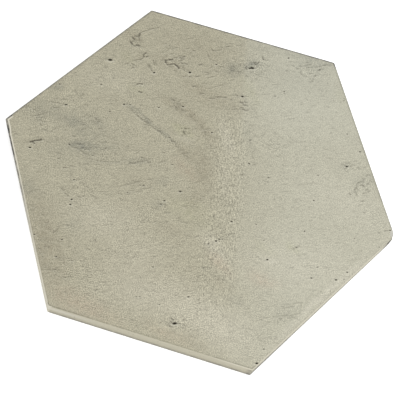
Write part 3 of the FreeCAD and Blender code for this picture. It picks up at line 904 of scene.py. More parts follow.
class TileShape:
    """Measures of the tile that follow from its sizes, in millimetres."""

    def __init__(self, sizes):
        self.sizes = sizes
        self.apothem = (CAD_HIGH.y - CAD_LOW.y) / MM / 2
        self.top = CAD_HIGH.z / MM
        self.point = self.apothem / math.cos(HALF_TURN)
        self.chip_middle = np.array(
            (self.point + sizes.chip_beyond, sizes.chip_aside, self.top + sizes.chip_above)
        )
        turns = [TURN * k for k in range(SIDES)]
        self.corners = self.point * np.array([(math.cos(a), math.sin(a)) for a in turns])
        foot_level = sizes.bevel_height * MM
        self.face_pull = np.array([on_face(*spot) for spot in FACE_CORNERS]) - self.corners
        self.foot_pull = np.array([on_level(*spot, foot_level) for spot in FOOT_CORNERS])
        self.foot_pull -= self.corners

    def inside(self, points):
        """How far inside the straight-sided hexagon each flat point lies."""
        reach = np.full(len(points), -np.inf)
        for side in range(SIDES):
            angle = math.pi / 2 + side * TURN
            normal = np.array((math.cos(angle), math.sin(angle)))
            reach = np.maximum(reach, points @ normal)
        return self.apothem - reach

    def pull(self, flat, corner_pulls):
        """How far the pulls of the two nearest corners move each flat point."""
        turn = np.arctan2(flat[:, 1], flat[:, 0]) % math.tau
        first = np.floor(turn / TURN).astype(int) % SIDES
        second = (first + 1) % SIDES
        one, other = self.corners[first], self.corners[second]
        area = one[:, 0] * other[:, 1] - one[:, 1] * other[:, 0]
        to_one = (flat[:, 0] * other[:, 1] - flat[:, 1] * other[:, 0]) / area
        to_other = (one[:, 0] * flat[:, 1] - one[:, 1] * flat[:, 0]) / area
        return corner_pulls[first] * to_one[:, None] + corner_pulls[second] * to_other[:, None]

    def regular(self, spot):
        """Where a spot of the fired face lies on the regular hexagon."""
        return spot - self.pull(spot[None], self.face_pull)[0]

    def fired(self, points):
        """The points moved from the regular hexagon to the fired piece's outline."""
        sizes = self.sizes
        straight = self.top - sizes.arris_radius - sizes.bevel_height
        lowered = np.clip((self.top - sizes.arris_radius - points[:, 2]) / straight, 0, 1)[:, None]
        flat = points[:, :2]
        moved = points.copy()
        moved[:, :2] += (1 - lowered) * self.pull(flat, self.face_pull)
        moved[:, :2] += lowered * self.pull(flat, self.foot_pull)
        return moved


def path_distance(points, path):
    """How each point lies to a path: how far off, how far along it and how far below it."""
    nearest = np.full(len(points), np.inf)
    along = np.zeros(len(points))
    below = np.zeros(len(points))
    walked = 0.0
    for start, end in zip(path[:-1], path[1:]):
        run = end - start
        span = float(np.linalg.norm(run))
        share = np.clip(((points - start) @ run) / span**2, 0, 1)
        off = points - start - share[:, None] * run
        apart = np.linalg.norm(off, axis=1)
        closer = apart < nearest
        nearest[closer] = apart[closer]
        along[closer] = walked + share[closer] * span
        below[closer] = (off @ DOWNWARD)[closer]
        walked += span
    return nearest, along, below


class Pore:
    """One pore: its middle, half sizes, turn and darkness."""

    ROWS = (0.45, 0.8, 1.15, 1.6, 2.2)
    FEW_ROWS = (0.6, 1.3)
    DARK = 0.5

    def __init__(self, centre, half_length, half_width, turn, dark):
        self.centre = centre
        self.half_length = half_length
        self.half_width = half_width
        self.along = np.array((math.cos(turn), math.sin(turn)))
        self.across = np.array((-math.sin(turn), math.cos(turn)))
        self.dark = dark

    def mesh_points(self):
        """Points on rings round the pore's middle."""
        points = [self.centre]
        for number, row in enumerate(self.ROWS if self.dark > self.DARK else self.FEW_ROWS):
            count = max(6, round(math.tau * row * self.half_length / 0.3))
            for k in range(count):
                angle = math.tau * (k + 0.5 * (number % 2)) / count
                x = row * self.half_length * math.cos(angle)
                y = row * self.half_width * math.sin(angle)
                points.append(self.centre + self.along * x + self.across * y)
        return points

    def mark(self, points, masks, pore_depth):
        """Sets down the pore's darkness, a painted highlight on its lower rim and its depth."""
        near = np.flatnonzero(np.hypot(*(points - self.centre).T) < 3 * self.half_length)
        off = points[near] - self.centre
        away = np.hypot(off @ self.along / self.half_length, off @ self.across / self.half_width)
        drawn = self.dark * (1 - smooth(away, 0.65, 1.4))
        masks["pore"][near] = np.maximum(masks["pore"][near], drawn)
        sunk = self.dark * pore_depth * (1 - smooth(away, 0.2, 1.15))
        masks["depth"][near] = np.maximum(masks["depth"][near], sunk)
        # Painted highlight: the pore's lower rim is made paler, as if light fell on that wall.
        under = smooth(off @ DOWNWARD / self.half_width, 0.3, 1.3)
        rim = self.dark * under * smooth(away, 1.1, 1.6) * (1 - smooth(away, 1.8, 2.8))
        masks["rim_highlight"][near] = np.maximum(masks["rim_highlight"][near], rim)


class Stroke:
    """One fine stroke: its path, half width and darkness."""

    ROWS = (-2.2, -1.0, 0.0, 1.0, 2.2)
    STEP = 0.4

    def __init__(self, path, half_width, dark, start):
        self.path = path
        self.half_width = half_width
        self.dark = dark
        self.start = start

    def mesh_points(self):
        """Points in rows along the stroke."""
        points = []
        for start, end in zip(self.path[:-1], self.path[1:]):
            run = end - start
            span = float(np.linalg.norm(run))
            normal = np.array((-run[1], run[0])) / span
            for share in even_steps(span, self.STEP) + [1.0]:
                for row in self.ROWS:
                    points.append(start + run * share + normal * self.half_width * row)
        return points

    def mark(self, points, masks, stroke_depth):
        """Sets down the stroke's darkness, a painted highlight along its lower edge and its depth."""
        middle = np.mean(self.path, axis=0)
        reach = max(np.linalg.norm(place - middle) for place in self.path) + 4 * self.half_width
        near = np.flatnonzero(np.hypot(*(points - middle).T) < reach)
        apart, along, below = path_distance(points[near], self.path)
        width = self.half_width
        ragged = [noise.noise((a / 0.7, self.start, 0)) for a in along]
        keep = self.dark * (0.85 + 0.5 * np.array(ragged))
        drawn = np.clip(keep, 0, 1) * (1 - smooth(apart, 0.4 * width, 2.0 * width))
        masks["line"][near] = np.maximum(masks["line"][near], drawn)
        masks["depth"][near] = np.maximum(masks["depth"][near], stroke_depth * drawn)
        # Painted highlight: the stroke's lower edge is made paler, as if lit.
        under = smooth(below / width, 0.8, 1.8) * (1 - smooth(apart, 2.2 * width, 3.6 * width))
        masks["rim_highlight"][near] = np.maximum(masks["rim_highlight"][near], 0.8 * np.clip(keep, 0, 1) * under)


def read_marks(face, shape):
    """All pores and strokes of the face: those of the photograph, then the scattered ones."""
    chance = random.Random(face.seed)
    marks = []
    for dark, places in PORES.values():
        for across, down, half_length in places:
            half = half_length * PIXEL * 0.85
            turn = LIE + chance.uniform(-0.25, 0.25)
            spot = shape.regular(on_face(across, down))
            marks.append(Pore(spot, half, half * chance.uniform(0.5, 0.75), turn, dark))
    for dark, width, paths in STROKES.values():
        for pixels in paths:
            path = [shape.regular(on_face(*pixel)) for pixel in pixels]
            marks.append(Stroke(path, width * PIXEL / 2, dark, chance.uniform(0, 100)))
    for number in range(face.small_pores + face.small_dashes):
        spot = scattered_spot(chance, shape)
        calm = 0.4 if spot[0] > 0.2 * shape.point else 0.8
        turn = LIE + chance.gauss(0, 0.22)
        if number < face.small_pores:
            half = chance.uniform(0.28, 0.5)
            dark = calm * (0.15 + 0.4 * chance.random() ** 2)
            marks.append(Pore(spot, half, half * chance.uniform(0.5, 0.9), turn, dark))
        else:
            half = chance.uniform(0.4, 1.5)
            bend = chance.uniform(-0.5, 0.5)
            run = half * np.array((math.cos(turn), math.sin(turn)))
            next_run = half * np.array((math.cos(turn + bend), math.sin(turn + bend)))
            dark = calm * (0.15 + 0.3 * chance.random() ** 2)
            path = [spot - run, spot, spot + next_run]
            marks.append(Stroke(path, chance.uniform(0.18, 0.3), dark, chance.uniform(0, 100)))
    return marks


def scattered_spot(chance, shape):
    """A random place on the face, clear of its rim."""
    while True:
        spot = np.array([chance.uniform(-shape.point, shape.point) for _ in range(2)])
        if shape.inside(spot[None])[0] > 2.0:
            return spot


def face_relief(face, points, inside, band):
    """The slow waves and trowel ripples of the face, in millimetres below its top."""
    waves = np.empty(len(points))
    for k, (x, y) in enumerate(points):
        slow = noise.noise((x / 34, y / 34, 3.1)) * face.roll
        middle = noise.noise((x / 9, y / 9, 7.7)) * face.roll * 0.35
        rough = noise.fractal((x / 1.8, y / 3.6, 1.3), 1.0, 2.0, 2) * face.trowel
        waves[k] = slow + middle + rough * band[k]
    room = smooth(inside, 0.5, 4.0)
    return (waves + face.roll * 1.2 + face.trowel * 0.5 * band) * room


def band_share(points):
    """How far each point belongs to the trowelled band."""
    course = [on_face(*BAND_HEAD), on_face(*BAND_BEND), on_face(*BAND_FOOT)]
    apart = path_distance(points, course)[0]
    return 1 - smooth(apart, 4.0, 12.0)


def lattice(shape, step, taken):
    """Evenly spread points inside the face, clear of the rim and of points taken."""
    cell = step * 0.8
    full = {(math.floor(x / cell), math.floor(y / cell)) for x, y in taken}
    rise = step * math.sqrt(3) / 2
    rows = math.ceil(shape.apothem / rise)
    columns = math.ceil(shape.point / step)
    points = []
    chance = random.Random(11)
    for row in range(-rows, rows + 1):
        shift = 0.5 * step * (row % 2)
        for column in range(-columns, columns + 1):
            x = column * step + shift + chance.uniform(-0.1, 0.1) * step
            y = row * rise + chance.uniform(-0.1, 0.1) * step
            if (math.floor(x / cell), math.floor(y / cell)) not in full:
                points.append((x, y))
    points = np.array(points)
    room = shape.inside(points)
    return points[room > shape.sizes.arris_radius + step * 0.55]


def thinned(points, apart):
    """The points, without those that stand closer together than a distance."""
    kept, full = [], set()
    for x, y in points:
        key = (round(x / apart), round(y / apart))
        if key not in full:
            full.add(key)
            kept.append((x, y))
    return np.array(kept)


def cell_centres(rings, pitch):
    """The middles of the bonding cells, ring by ring round the plain middle."""
    centres = []
    for ring in range(1, rings + 1):
        for sixth in range(SIDES):
            start = sixth * TURN
            back = start + 2 * TURN
            for place in range(ring):
                x = ring * math.cos(start) + place * math.cos(back)
                y = ring * math.sin(start) + place * math.sin(back)
                centres.append((pitch * x, pitch * y))
    return centres


def press_back(shell, shape, rim):
    """The back: plain border and middle, and the honeycomb of bonding cells."""
    sizes = shape.sizes
    field = shape.apothem - sizes.bevel_inset - sizes.border_width
    rings = sizes.cell_rings
    slant = math.sqrt(3)
    pitch = (field + sizes.rib_width / slant) / (rings * math.cos(HALF_TURN) + 1 / slant)
    run = sizes.cell_depth * math.tan(sizes.cell_wall_lean)
    mouth = (pitch - sizes.rib_width) / 2
    round_mouth = sizes.cell_floor_radius + run
    shares = [even_steps(1.0, 0.25)] * SIDES
    mouths = []
    for middle in cell_centres(rings, pitch):
        rows = []
        for share in (0.0, 0.12, 0.88, 1.0):
            inset = run * share
            loop = hexagon_loop(mouth - inset, round_mouth - inset, shares, 4, 0.0, middle)
            rows.append(shell.loop(loop, sizes.cell_depth * share))
        for lower, upper in zip(rows[:-1], rows[1:]):
            shell.band(upper, lower, BARE)
        floor = [middle]
        for k in range(SIDES):
            x = middle[0] + mouth / 2 * math.cos(k * TURN)
            y = middle[1] + mouth / 2 * math.sin(k * TURN)
            floor.append((x, y))
        shell.fill(rows[-1], [], floor, sizes.cell_depth, BARE, False)
        mouths.append(rows[0])
    shell.fill(rim, mouths, [], 0.0, BARE, False)


def press_sides(shell, shape):
    """The rows of points from the back's edge up over the arris. Returns both ends."""
    sizes = shape.sizes
    span = 2 * (shape.apothem - sizes.corner_radius) * math.tan(HALF_TURN)
    shares = side_shares(1.0, 0.22, 6.0, span)
    straight = shape.top - sizes.arris_radius - sizes.bevel_height
    rises, arris_steps, corner_steps = 10, 5, 5
    profile = [(sizes.bevel_inset, 0.0), (sizes.bevel_inset / 2, sizes.bevel_height / 2)]
    profile += [(0.0, sizes.bevel_height + straight * k / rises) for k in range(rises + 1)]
    for k in range(1, arris_steps + 1):
        angle = math.pi / 2 * k / arris_steps
        inset = sizes.arris_radius * (1 - math.cos(angle))
        profile.append((inset, shape.top - sizes.arris_radius * (1 - math.sin(angle))))
    rows = []
    for inset, height in profile:
        radius = max(sizes.corner_radius - inset, 0.05)
        loop = hexagon_loop(shape.apothem - inset, radius, shares, corner_steps)
        rows.append(shell.loop(loop, height))
    bare_rows = len(profile) - arris_steps
    for k, (lower, upper) in enumerate(zip(rows[:-1], rows[1:])):
        shell.band(lower, upper, BARE if k + 1 < bare_rows else WALKING)
    return rows[0], rows[-1]


def hollow_points(shape, middle, rim):
    """Close-set face points round a hollow's middle, with its rim among them."""
    points = []
    for away in (0.0, -0.25, -0.5, -0.8, -1.1, -1.4, -1.8, -2.2, 0.12, 0.4, 0.9, 1.6):
        radius = rim + away
        count = round(math.tau * radius / 0.22)
        for k in range(count):
            angle = math.tau * k / count
            points.append(middle + radius * np.array((math.cos(angle), math.sin(angle))))
    points = np.array(points)
    return points[shape.inside(points) > shape.sizes.arris_radius + 0.1]


def chip_hollows(shape):
    """The chip at the point and the flake beside it: each one's ball, and its rim on the face."""
    sizes = shape.sizes
    rim = math.sqrt(sizes.chip_radius**2 - sizes.chip_above**2)
    ball = (sizes.flake_reach**2 + sizes.flake_depth**2) / (2 * sizes.flake_depth)
    flat = shape.regular(on_face(*FLAKE_MIDDLE))
    flake = np.array((*flat, shape.top + ball - sizes.flake_depth))
    return [(shape.chip_middle, sizes.chip_radius, rim), (flake, ball, sizes.flake_reach)]


def wear_point(points, shape):
    """Wears the chipped point back to a short upright face, all the way down."""
    slant = 0.15
    start = shape.point - 3.5
    outline = shape.point - np.abs(points[:, 1]) * math.tan(HALF_TURN)
    for k in np.flatnonzero((points[:, 0] > start) & (outline > shape.point - shape.sizes.point_wear)):
        rough = 0.15 * noise.noise((points[k, 1] * 0.9, points[k, 2] * 0.9, 5.0))
        worn = shape.point - shape.sizes.point_wear + slant * points[k, 1] + rough
        share = (points[k, 0] - start) / (outline[k] - start)
        points[k, 0] = start + share * (min(worn, outline[k]) - start)


def break_chip(points, middle, radius):
    """Moves the points inside a hollow out to its shell-shaped surface. Returns them."""
    off = points - middle
    away = np.linalg.norm(off, axis=1)
    near = np.flatnonzero(away < radius)
    for k in near:
        ray = off[k] / away[k]
        spot = middle + ray * radius
        ripple = 0.05 * math.sin((spot[2] + 0.6 * spot[1]) * 7)
        grit = 0.1 * noise.fractal(tuple(spot * 1.6), 1.0, 2.0, 3)
        depth = radius - away[k]
        points[k] = spot - ray * (ripple + grit) * min(1.0, depth / 0.3)
    return near


def press_tile(sizes, face):
    """The whole tile as one closed mesh, with the marks kept at its points."""
    shape = TileShape(sizes)
    shell = Shell()
    back_rim, face_rim = press_sides(shell, shape)
    press_back(shell, shape, back_rim)
    marks = read_marks(face, shape)
    wanted = np.array([point for mark in marks for point in mark.mesh_points()])
    clear = shape.inside(wanted) > sizes.arris_radius + 0.15
    hollows = chip_hollows(shape)
    broken = [hollow_points(shape, middle[:2], rim) for middle, _, rim in hollows]
    wanted = thinned(np.concatenate([*broken, wanted[clear]]), 0.16)
    inner = np.concatenate([wanted, lattice(shape, face.mesh_step, wanted)])
    shell.fill(face_rim, [], inner, shape.top, WALKING, True)
    points = np.array(shell.points)
    on_top = points[:, 2] > shape.top - TINY
    flat = points[on_top, :2]
    drawn = {name: np.zeros(len(flat)) for name in ("pore", "line", "rim_highlight", "depth")}
    for mark in marks:
        mark.mark(flat, drawn, face.pore_depth if isinstance(mark, Pore) else face.stroke_depth)
    inside = shape.inside(flat)
    fade = smooth(inside, sizes.arris_radius, sizes.arris_radius + 0.4)
    waves = face_relief(face, flat, inside, band_share(flat))
    points[on_top, 2] -= waves + drawn.pop("depth") * fade
    masks = {name: np.zeros(len(points)) for name in ("pore", "line", "rim_highlight", "chip")}
    for name, values in drawn.items():
        masks[name][on_top] = values
    masks["inside"] = shape.inside(points[:, :2])
    wear_point(points, shape)
    for middle, radius, _ in hollows:
        masks["chip"][break_chip(points, middle, radius)] = 1.0
    return shell, shape.fired(points) * MM, masks


def make_mesh(name, shell, points, masks):
    """A Blender mesh from the laid points, with its masks as attributes."""
    mesh = bpy.data.meshes.new(name)
    mesh.from_pydata([tuple(p) for p in points], [], shell.faces)
    mesh.polygons.foreach_set("material_index", shell.kinds)
    mesh.polygons.foreach_set("use_smooth", [True] * len(shell.faces))
    for mask_name, values in masks.items():
        layer = mesh.attributes.new(mask_name, "FLOAT", "POINT")
        layer.data.foreach_set("value", values.astype(np.float32))
    mesh.validate()
    mesh.set_sharp_from_angle(angle=math.radians(34))
    mesh.update()
    return mesh


# Finishes

# Flat directions on the tile: out of the left-hand side and along it to the back, and
# out of the near right-hand side and along it to the back.
WEST = (-math.cos(HALF_TURN), -0.5, 0.0)
WEST_RUN = (-0.5, math.cos(HALF_TURN), 0.0)
EAST = (math.cos(HALF_TURN), -0.5, 0.0)
EAST_RUN = (0.5, math.cos(HALF_TURN), 0.0)
# Tones that more than one place shows.
PALE_EDGE = tone(222, 217, 199)
PRINT_SPECK = tone(112, 106, 90)
# Tone of the painted shadow below the chipped point.
POINT_SHADOW = tone(72, 70, 64)
FRESH_BREAK = tone(198, 196, 186)


class Bench:
    """Lays and joins the nodes of one tree."""

    def __init__(self, tree):
        self.tree = tree

    def put(self, kind, fed=None, **settings):
        """A new node with its settings, and what feeds its sockets."""
        node = self.tree.nodes.new(kind)
        for name, value in settings.items():
            setattr(node, name, value)
        for socket, source in (fed or {}).items():
            self.feed(node.inputs[socket], source)
        return node

    def feed(self, socket, source):
        """Joins a socket to another, or sets its plain value."""
        if isinstance(source, bpy.types.NodeSocket):
            self.tree.links.new(source, socket)
        else:
            socket.default_value = source

    def math(self, operation, *values, clamp=False):
        """The outcome of a sum with one, two or three values."""
        node = self.put("ShaderNodeMath", operation=operation, use_clamp=clamp)
        for socket, value in zip(node.inputs, values):
            self.feed(socket, value)
        return node.outputs[0]

    def times(self, first, *others):
        """Values multiplied with one another."""
        for other in others:
            first = self.math("MULTIPLY", first, other)
        return first

    def vector(self, operation, *values):
        """The outcome of a sum with vectors."""
        node = self.put("ShaderNodeVectorMath", operation=operation)
        for socket, value in zip(node.inputs, values):
            self.feed(socket, value)
        return node.outputs["Value" if operation in ("LENGTH", "DOT_PRODUCT") else "Vector"]

    def dot(self, place, direction):
        """How far a place lies along a direction of length one."""
        return self.vector("DOT_PRODUCT", place, direction)

    def scale(self, vector, factor):
        """A vector made longer by a factor."""
        fed = {"Vector": vector, "Scale": factor}
        return self.put("ShaderNodeVectorMath", fed, operation="SCALE").outputs["Vector"]

    def step(self, value, low, high, to_low=0.0, to_high=1.0):
        """A value eased from one range to another, and kept inside it."""
        fed = {
            "Value": value,
            "From Min": low,
            "From Max": high,
            "To Min": to_low,
            "To Max": to_high,
        }
        node = self.put("ShaderNodeMapRange", fed, interpolation_type="SMOOTHSTEP")
        return node.outputs["Result"]

    def mix(self, share, first, second, blend="MIX"):
        """Two colours mixed by a share."""
        node = self.put("ShaderNodeMix", data_type="RGBA", blend_type=blend, clamp_factor=True)
        sockets = [s for s in node.inputs if s.enabled]
        for socket, value in zip(sockets, (share, first, second)):
            self.feed(socket, value)
        return next(s for s in node.outputs if s.enabled)

    def lift(self, colour, value, strength):
        """A colour made lighter or darker by a value about nought."""
        factor = self.math("MULTIPLY_ADD", value, strength, 1.0)
        grey = self.put("ShaderNodeCombineXYZ", {"X": factor, "Y": factor, "Z": factor})
        return self.mix(1.0, colour, grey.outputs[0], "MULTIPLY")

    def noise(self, place, scale, detail=2.0, roughness=0.5, warp=0.0):
        """A noise texture's value."""
        fed = {
            "Vector": place,
            "Scale": scale,
            "Detail": detail,
            "Roughness": roughness,
            "Distortion": warp,
        }
        return self.put("ShaderNodeTexNoise", fed).outputs["Fac"]

    def group(self, group, fed, output=0):
        """What a node of one of the shared groups puts out."""
        return self.put("ShaderNodeGroup", fed, node_tree=group).outputs[output]


FLOAT, VECTOR = "NodeSocketFloat", "NodeSocketVector"


def new_group(name, takes, gives):
    """An empty shared group. Returns it, its bench, its input's sockets and its output's."""
    group = bpy.data.node_groups.new(name, "ShaderNodeTree")
    for socket_name, kind, default in (("Place", VECTOR, (0, 0, 0)), *takes):
        socket = group.interface.new_socket(name=socket_name, in_out="INPUT", socket_type=kind)
        socket.default_value = default
    for socket_name, kind in gives:
        group.interface.new_socket(name=socket_name, in_out="OUTPUT", socket_type=kind)
    bench = Bench(group)
    given = bench.put("NodeGroupInput").outputs
    return group, bench, given, bench.put("NodeGroupOutput").inputs


def ragged_place_group():
    """Pushes places about with noise, so that soft shapes get ragged edges."""
    takes = (("Size", FLOAT, 8.0), ("Reach", FLOAT, 4.0))
    group, bench, given, out = new_group("Ragged Place", takes, (("Place", VECTOR),))
    fed = {"Vector": given["Place"], "Scale": bench.math("DIVIDE", 1.0, given["Size"])}
    fed |= {"Detail": 4.0, "Roughness": 0.62}
    push = bench.put("ShaderNodeTexNoise", fed).outputs["Color"]
    centred = bench.vector("SUBTRACT", push, (0.5, 0.5, 0.5))
    level = bench.vector("MULTIPLY", bench.scale(centred, given["Reach"]), (1, 1, 0))
    bench.feed(out["Place"], bench.vector("ADD", given["Place"], level))
    return group


def soft_stain_group():
    """A soft-edged oval, one at its heart and nought outside."""
    takes = (
        ("Centre", VECTOR, (0, 0, 0)),
        ("Half Length", FLOAT, 10.0),
        ("Half Width", FLOAT, 5.0),
        ("Turn", FLOAT, 0.0),
        ("Strength", FLOAT, 1.0),
    )
    group, bench, given, out = new_group("Soft Stain", takes, (("Mask", FLOAT),))
    off = bench.vector("SUBTRACT", given["Place"], given["Centre"])
    fed = {"Vector": off, "Angle": bench.times(given["Turn"], -1.0)}
    turned = bench.put("ShaderNodeVectorRotate", fed, rotation_type="Z_AXIS").outputs[0]
    fed = {"X": given["Half Length"], "Y": given["Half Width"], "Z": 1.0}
    size = bench.put("ShaderNodeCombineXYZ", fed).outputs[0]
    flat = bench.vector("MULTIPLY", bench.vector("DIVIDE", turned, size), (1, 1, 0))
    mask = bench.step(bench.vector("LENGTH", flat), 1.25, 0.0)
    bench.feed(out["Mask"], bench.times(mask, given["Strength"]))
    return group


def fired_grain_group():
    """Grain of several sizes, evenly about nought, for print and bare body alike."""
    takes = (
        ("Fine Size", FLOAT, 0.5),
        ("Fine Share", FLOAT, 1.0),
        ("Streak Length", FLOAT, 2.4),
        ("Streak Width", FLOAT, 0.7),
        ("Streak Share", FLOAT, 1.0),
        ("Blotch Size", FLOAT, 5.0),
        ("Blotch Share", FLOAT, 0.4),
    )
    group, bench, given, out = new_group("Fired Grain", takes, (("Value", FLOAT),))
    place = given["Place"]
    fine = bench.noise(place, bench.math("DIVIDE", 1.0, given["Fine Size"]), 1.0, 0.7)
    total = bench.times(bench.math("SUBTRACT", fine, 0.5), given["Fine Share"])
    fed = {"X": given["Streak Length"], "Y": given["Streak Width"], "Z": given["Streak Width"]}
    size = bench.put("ShaderNodeCombineXYZ", fed).outputs[0]
    streak = bench.noise(bench.vector("DIVIDE", place, size), 1.0, 2.0, 0.6, 0.25)
    streak = bench.math("SUBTRACT", streak, 0.5)
    total = bench.math("MULTIPLY_ADD", streak, given["Streak Share"], total)
    blotch = bench.noise(place, bench.math("DIVIDE", 1.0, given["Blotch Size"]), 4.0, 0.6, 0.3)
    blotch = bench.math("SUBTRACT", blotch, 0.5)
    bench.feed(out["Value"], bench.math("MULTIPLY_ADD", blotch, given["Blotch Share"], total))
    return group


def specks_group():
    """Small dots, each in its own cell, of which a share is there."""
    takes = (("Cell", FLOAT, 1.5), ("Share", FLOAT, 0.3), ("Dot", FLOAT, 0.35))
    group, bench, given, out = new_group("Specks", takes, (("Mask", FLOAT),))
    fed = {"Vector": given["Place"], "Scale": bench.math("DIVIDE", 1.0, given["Cell"])}
    cells = bench.put("ShaderNodeTexVoronoi", fed, voronoi_dimensions="2D")
    parts = bench.put("ShaderNodeSeparateColor", {"Color": cells.outputs["Color"]})
    there = bench.math("LESS_THAN", parts.outputs["Red"], given["Share"])
    spread = bench.step(parts.outputs["Green"], 0.0, 1.0, 0.4, 1.0)
    size = bench.times(given["Dot"], spread)
    dot = bench.step(cells.outputs["Distance"], size, bench.times(size, 0.3))
    bench.feed(out["Mask"], bench.times(dot, there))
    return group


def make_groups():
    """The shared groups, each built once."""
    return SimpleNamespace(
        ragged=ragged_place_group(),
        stain=soft_stain_group(),
        grain=fired_grain_group(),
        specks=specks_group(),
    )


def new_material(name):
    """A material with nothing but its surface shader, its bench and the shader's sockets."""
    material = bpy.data.materials.new(name)
    material.use_nodes = True
    material.node_tree.nodes.clear()
    bench = Bench(material.node_tree)
    shader = bench.put("ShaderNodeBsdfPrincipled")
    end = bench.put("ShaderNodeOutputMaterial")
    bench.feed(end.inputs["Surface"], shader.outputs["BSDF"])
    return material, bench, shader.inputs


def millimetres(bench):
    """The place on the tile in millimetres."""
    return bench.scale(bench.put("ShaderNodeTexCoord").outputs["Object"], 1 / MM)


def mask_of(bench, name):
    """A mask that is kept at the mesh's points."""
    return bench.put("ShaderNodeAttribute", attribute_name=name).outputs["Fac"]


def oval(bench, groups, place, first, last, width, strength):
    """A soft oval from one place to another, in millimetres."""
    middle, run = (first + last) / 2, last - first
    fed = {
        "Place": place,
        "Centre": (*middle, 0.0),
        "Half Length": float(np.linalg.norm(run)) / 2 + width,
        "Half Width": width,
        "Turn": math.atan2(run[1], run[0]),
        "Strength": strength,
    }
    return bench.group(groups.stain, fed)


def stain_sum(bench, groups, place, stains):
    """All the stains of one kind as one mask."""
    total = None
    for start, end, half_width, strength in stains.values():
        width = half_width * PIXEL
        mask = oval(bench, groups, place, on_face(*start), on_face(*end), width, strength)
        total = mask if total is None else bench.math("ADD", total, mask)
    return total


def line_side(bench, place, head, foot):
    """How far to the right of a line down the photograph a place lies, in millimetres."""
    first, last = on_face(*head), on_face(*foot)
    run = (last - first) / np.linalg.norm(last - first)
    normal = (-run[1], run[0], 0.0)
    return bench.dot(bench.vector("SUBTRACT", place, (*first, 0.0)), normal)


def band_mask(bench, place):
    """The trowelled band, which bends once on its way down the face."""
    upper = bench.math("ABSOLUTE", line_side(bench, place, BAND_HEAD, BAND_BEND))
    lower = bench.math("ABSOLUTE", line_side(bench, place, BAND_BEND, BAND_FOOT))
    bend, foot = on_face(*BAND_BEND), on_face(*BAND_FOOT)
    down = (*DOWNWARD, 0.0)
    walked = bench.dot(bench.vector("SUBTRACT", place, (*bend, 0.0)), down)
    turned = bench.step(walked, -6.0, 6.0)
    away = bench.times(upper, bench.math("SUBTRACT", 1.0, turned))
    away = bench.math("MULTIPLY_ADD", lower, turned, away)
    rise = float((on_face(*BAND_HEAD) - bend) @ DOWNWARD)
    fall = float((foot - bend) @ DOWNWARD)
    band = bench.step(away, 12.0, 6.0)
    band = bench.times(band, bench.step(walked, rise, rise + 16.0))
    return bench.times(band, bench.step(walked, fall + 2.0, fall - 50.0))


def print_tones(bench, groups, place, face):
    """The print's tones without its grain, and how far a place is in the pale half."""
    ragged = bench.group(groups.ragged, {"Place": place, "Size": 9.0, "Reach": 6.0})
    torn = bench.group(groups.ragged, {"Place": place, "Size": 2.2, "Reach": 3.5})
    side = line_side(bench, torn, TURN_HEAD, TURN_FOOT)
    height = bench.dot(torn, (*-DOWNWARD, 0.0))
    far = bench.times(bench.step(side, -24.0, 34.0), 0.7)
    near = bench.times(bench.step(side, -2.0, 2.0), 0.3, bench.step(height, 10.0, 45.0, 0.15, 1.0))
    pale = bench.math("ADD", far, near)
    colour = bench.mix(pale, linear(face.warm), linear(face.pale))
    mottle = bench.step(bench.noise(place, 0.42, 4.0, 0.65, 0.4), 0.3, 0.7, 0.45, 1.55)
    colour = bench.mix(stain_sum(bench, groups, ragged, CHALK), colour, tone(226, 221, 204))
    kinds = (
        (OLIVE, tone(160, 162, 122)),
        (CLAY, tone(188, 160, 138)),
        (UMBER, tone(122, 110, 88)),
        (SOOT, tone(106, 109, 101)),
    )
    for stains, stain_tone in kinds:
        share = bench.times(stain_sum(bench, groups, ragged, stains), mottle)
        colour = bench.mix(share, colour, stain_tone)
    return colour, pale, torn


def print_grain(bench, groups, place, pale, face):
    """The print's grain: how far it lifts the tone, and the part of it to be felt."""
    fed = {"Vector": place, "Angle": -LIE}
    lain = bench.put("ShaderNodeVectorRotate", fed, rotation_type="Z_AXIS").outputs[0]
    fed = {"Place": lain, "Fine Size": 0.5, "Fine Share": 2.6, "Streak Length": 2.2}
    fed |= {"Streak Width": 0.66, "Streak Share": 0.72, "Blotch Size": 4.5, "Blotch Share": 0.32}
    even = bench.group(groups.grain, fed)
    fed = {"Place": lain, "Fine Size": 0.5, "Fine Share": 1.95, "Streak Length": 0.58}
    fed |= {"Streak Width": 1.7, "Streak Share": 1.75, "Blotch Size": 3.0, "Blotch Share": 0.15}
    band = band_mask(bench, place)
    upright = bench.times(bench.group(groups.grain, fed), band)
    rough = bench.math("MULTIPLY_ADD", stain_sum(bench, groups, place, COARSE), 0.8, 1.0)
    fall = bench.times(rough, bench.math("MULTIPLY_ADD", pale, -0.36, 1.0))
    level = bench.math("MULTIPLY_ADD", band, -0.6, 1.0)
    even = bench.times(even, level)
    value = bench.math("MULTIPLY_ADD", even, fall, upright)
    dragged = bench.vector("MULTIPLY", lain, (0.3, 1.0, 1.0))
    dash = bench.step(bench.noise(dragged, 1.0, 3.0, 0.6, 0.6), 0.59, 0.7)
    patch = bench.step(bench.noise(lain, 0.09, 2.0, 0.5), 0.4, 0.62, 0.15, 1.0)
    dash = bench.times(patch, fall, dash)
    return value, bench.math("MULTIPLY_ADD", upright, 1.6, even), dash


def west_side(bench, place, near, far):
    """Where a place lies by the left-hand side, and how much painted shadow that side takes there."""
    beside = bench.step(bench.dot(place, WEST), near, far)
    along = bench.dot(place, WEST_RUN)
    beside = bench.times(beside, bench.step(along, -51.0, -50.4))
    return beside, bench.times(beside, bench.step(along, -30.0, 44.0))


def point_shadow(bench, groups, place):
    """Painted shadow along the side below the chipped point."""
    ends = [on_level(*spot, SHADOW_LEVEL) for spot in (SHADOW_START, SHADOW_END)]
    broken = bench.step(bench.noise(place, 0.7, 3.0, 0.6), 0.38, 0.6, 0.45, 1.0)
    return bench.times(oval(bench, groups, place, *ends, 1.9, 1.8), broken)


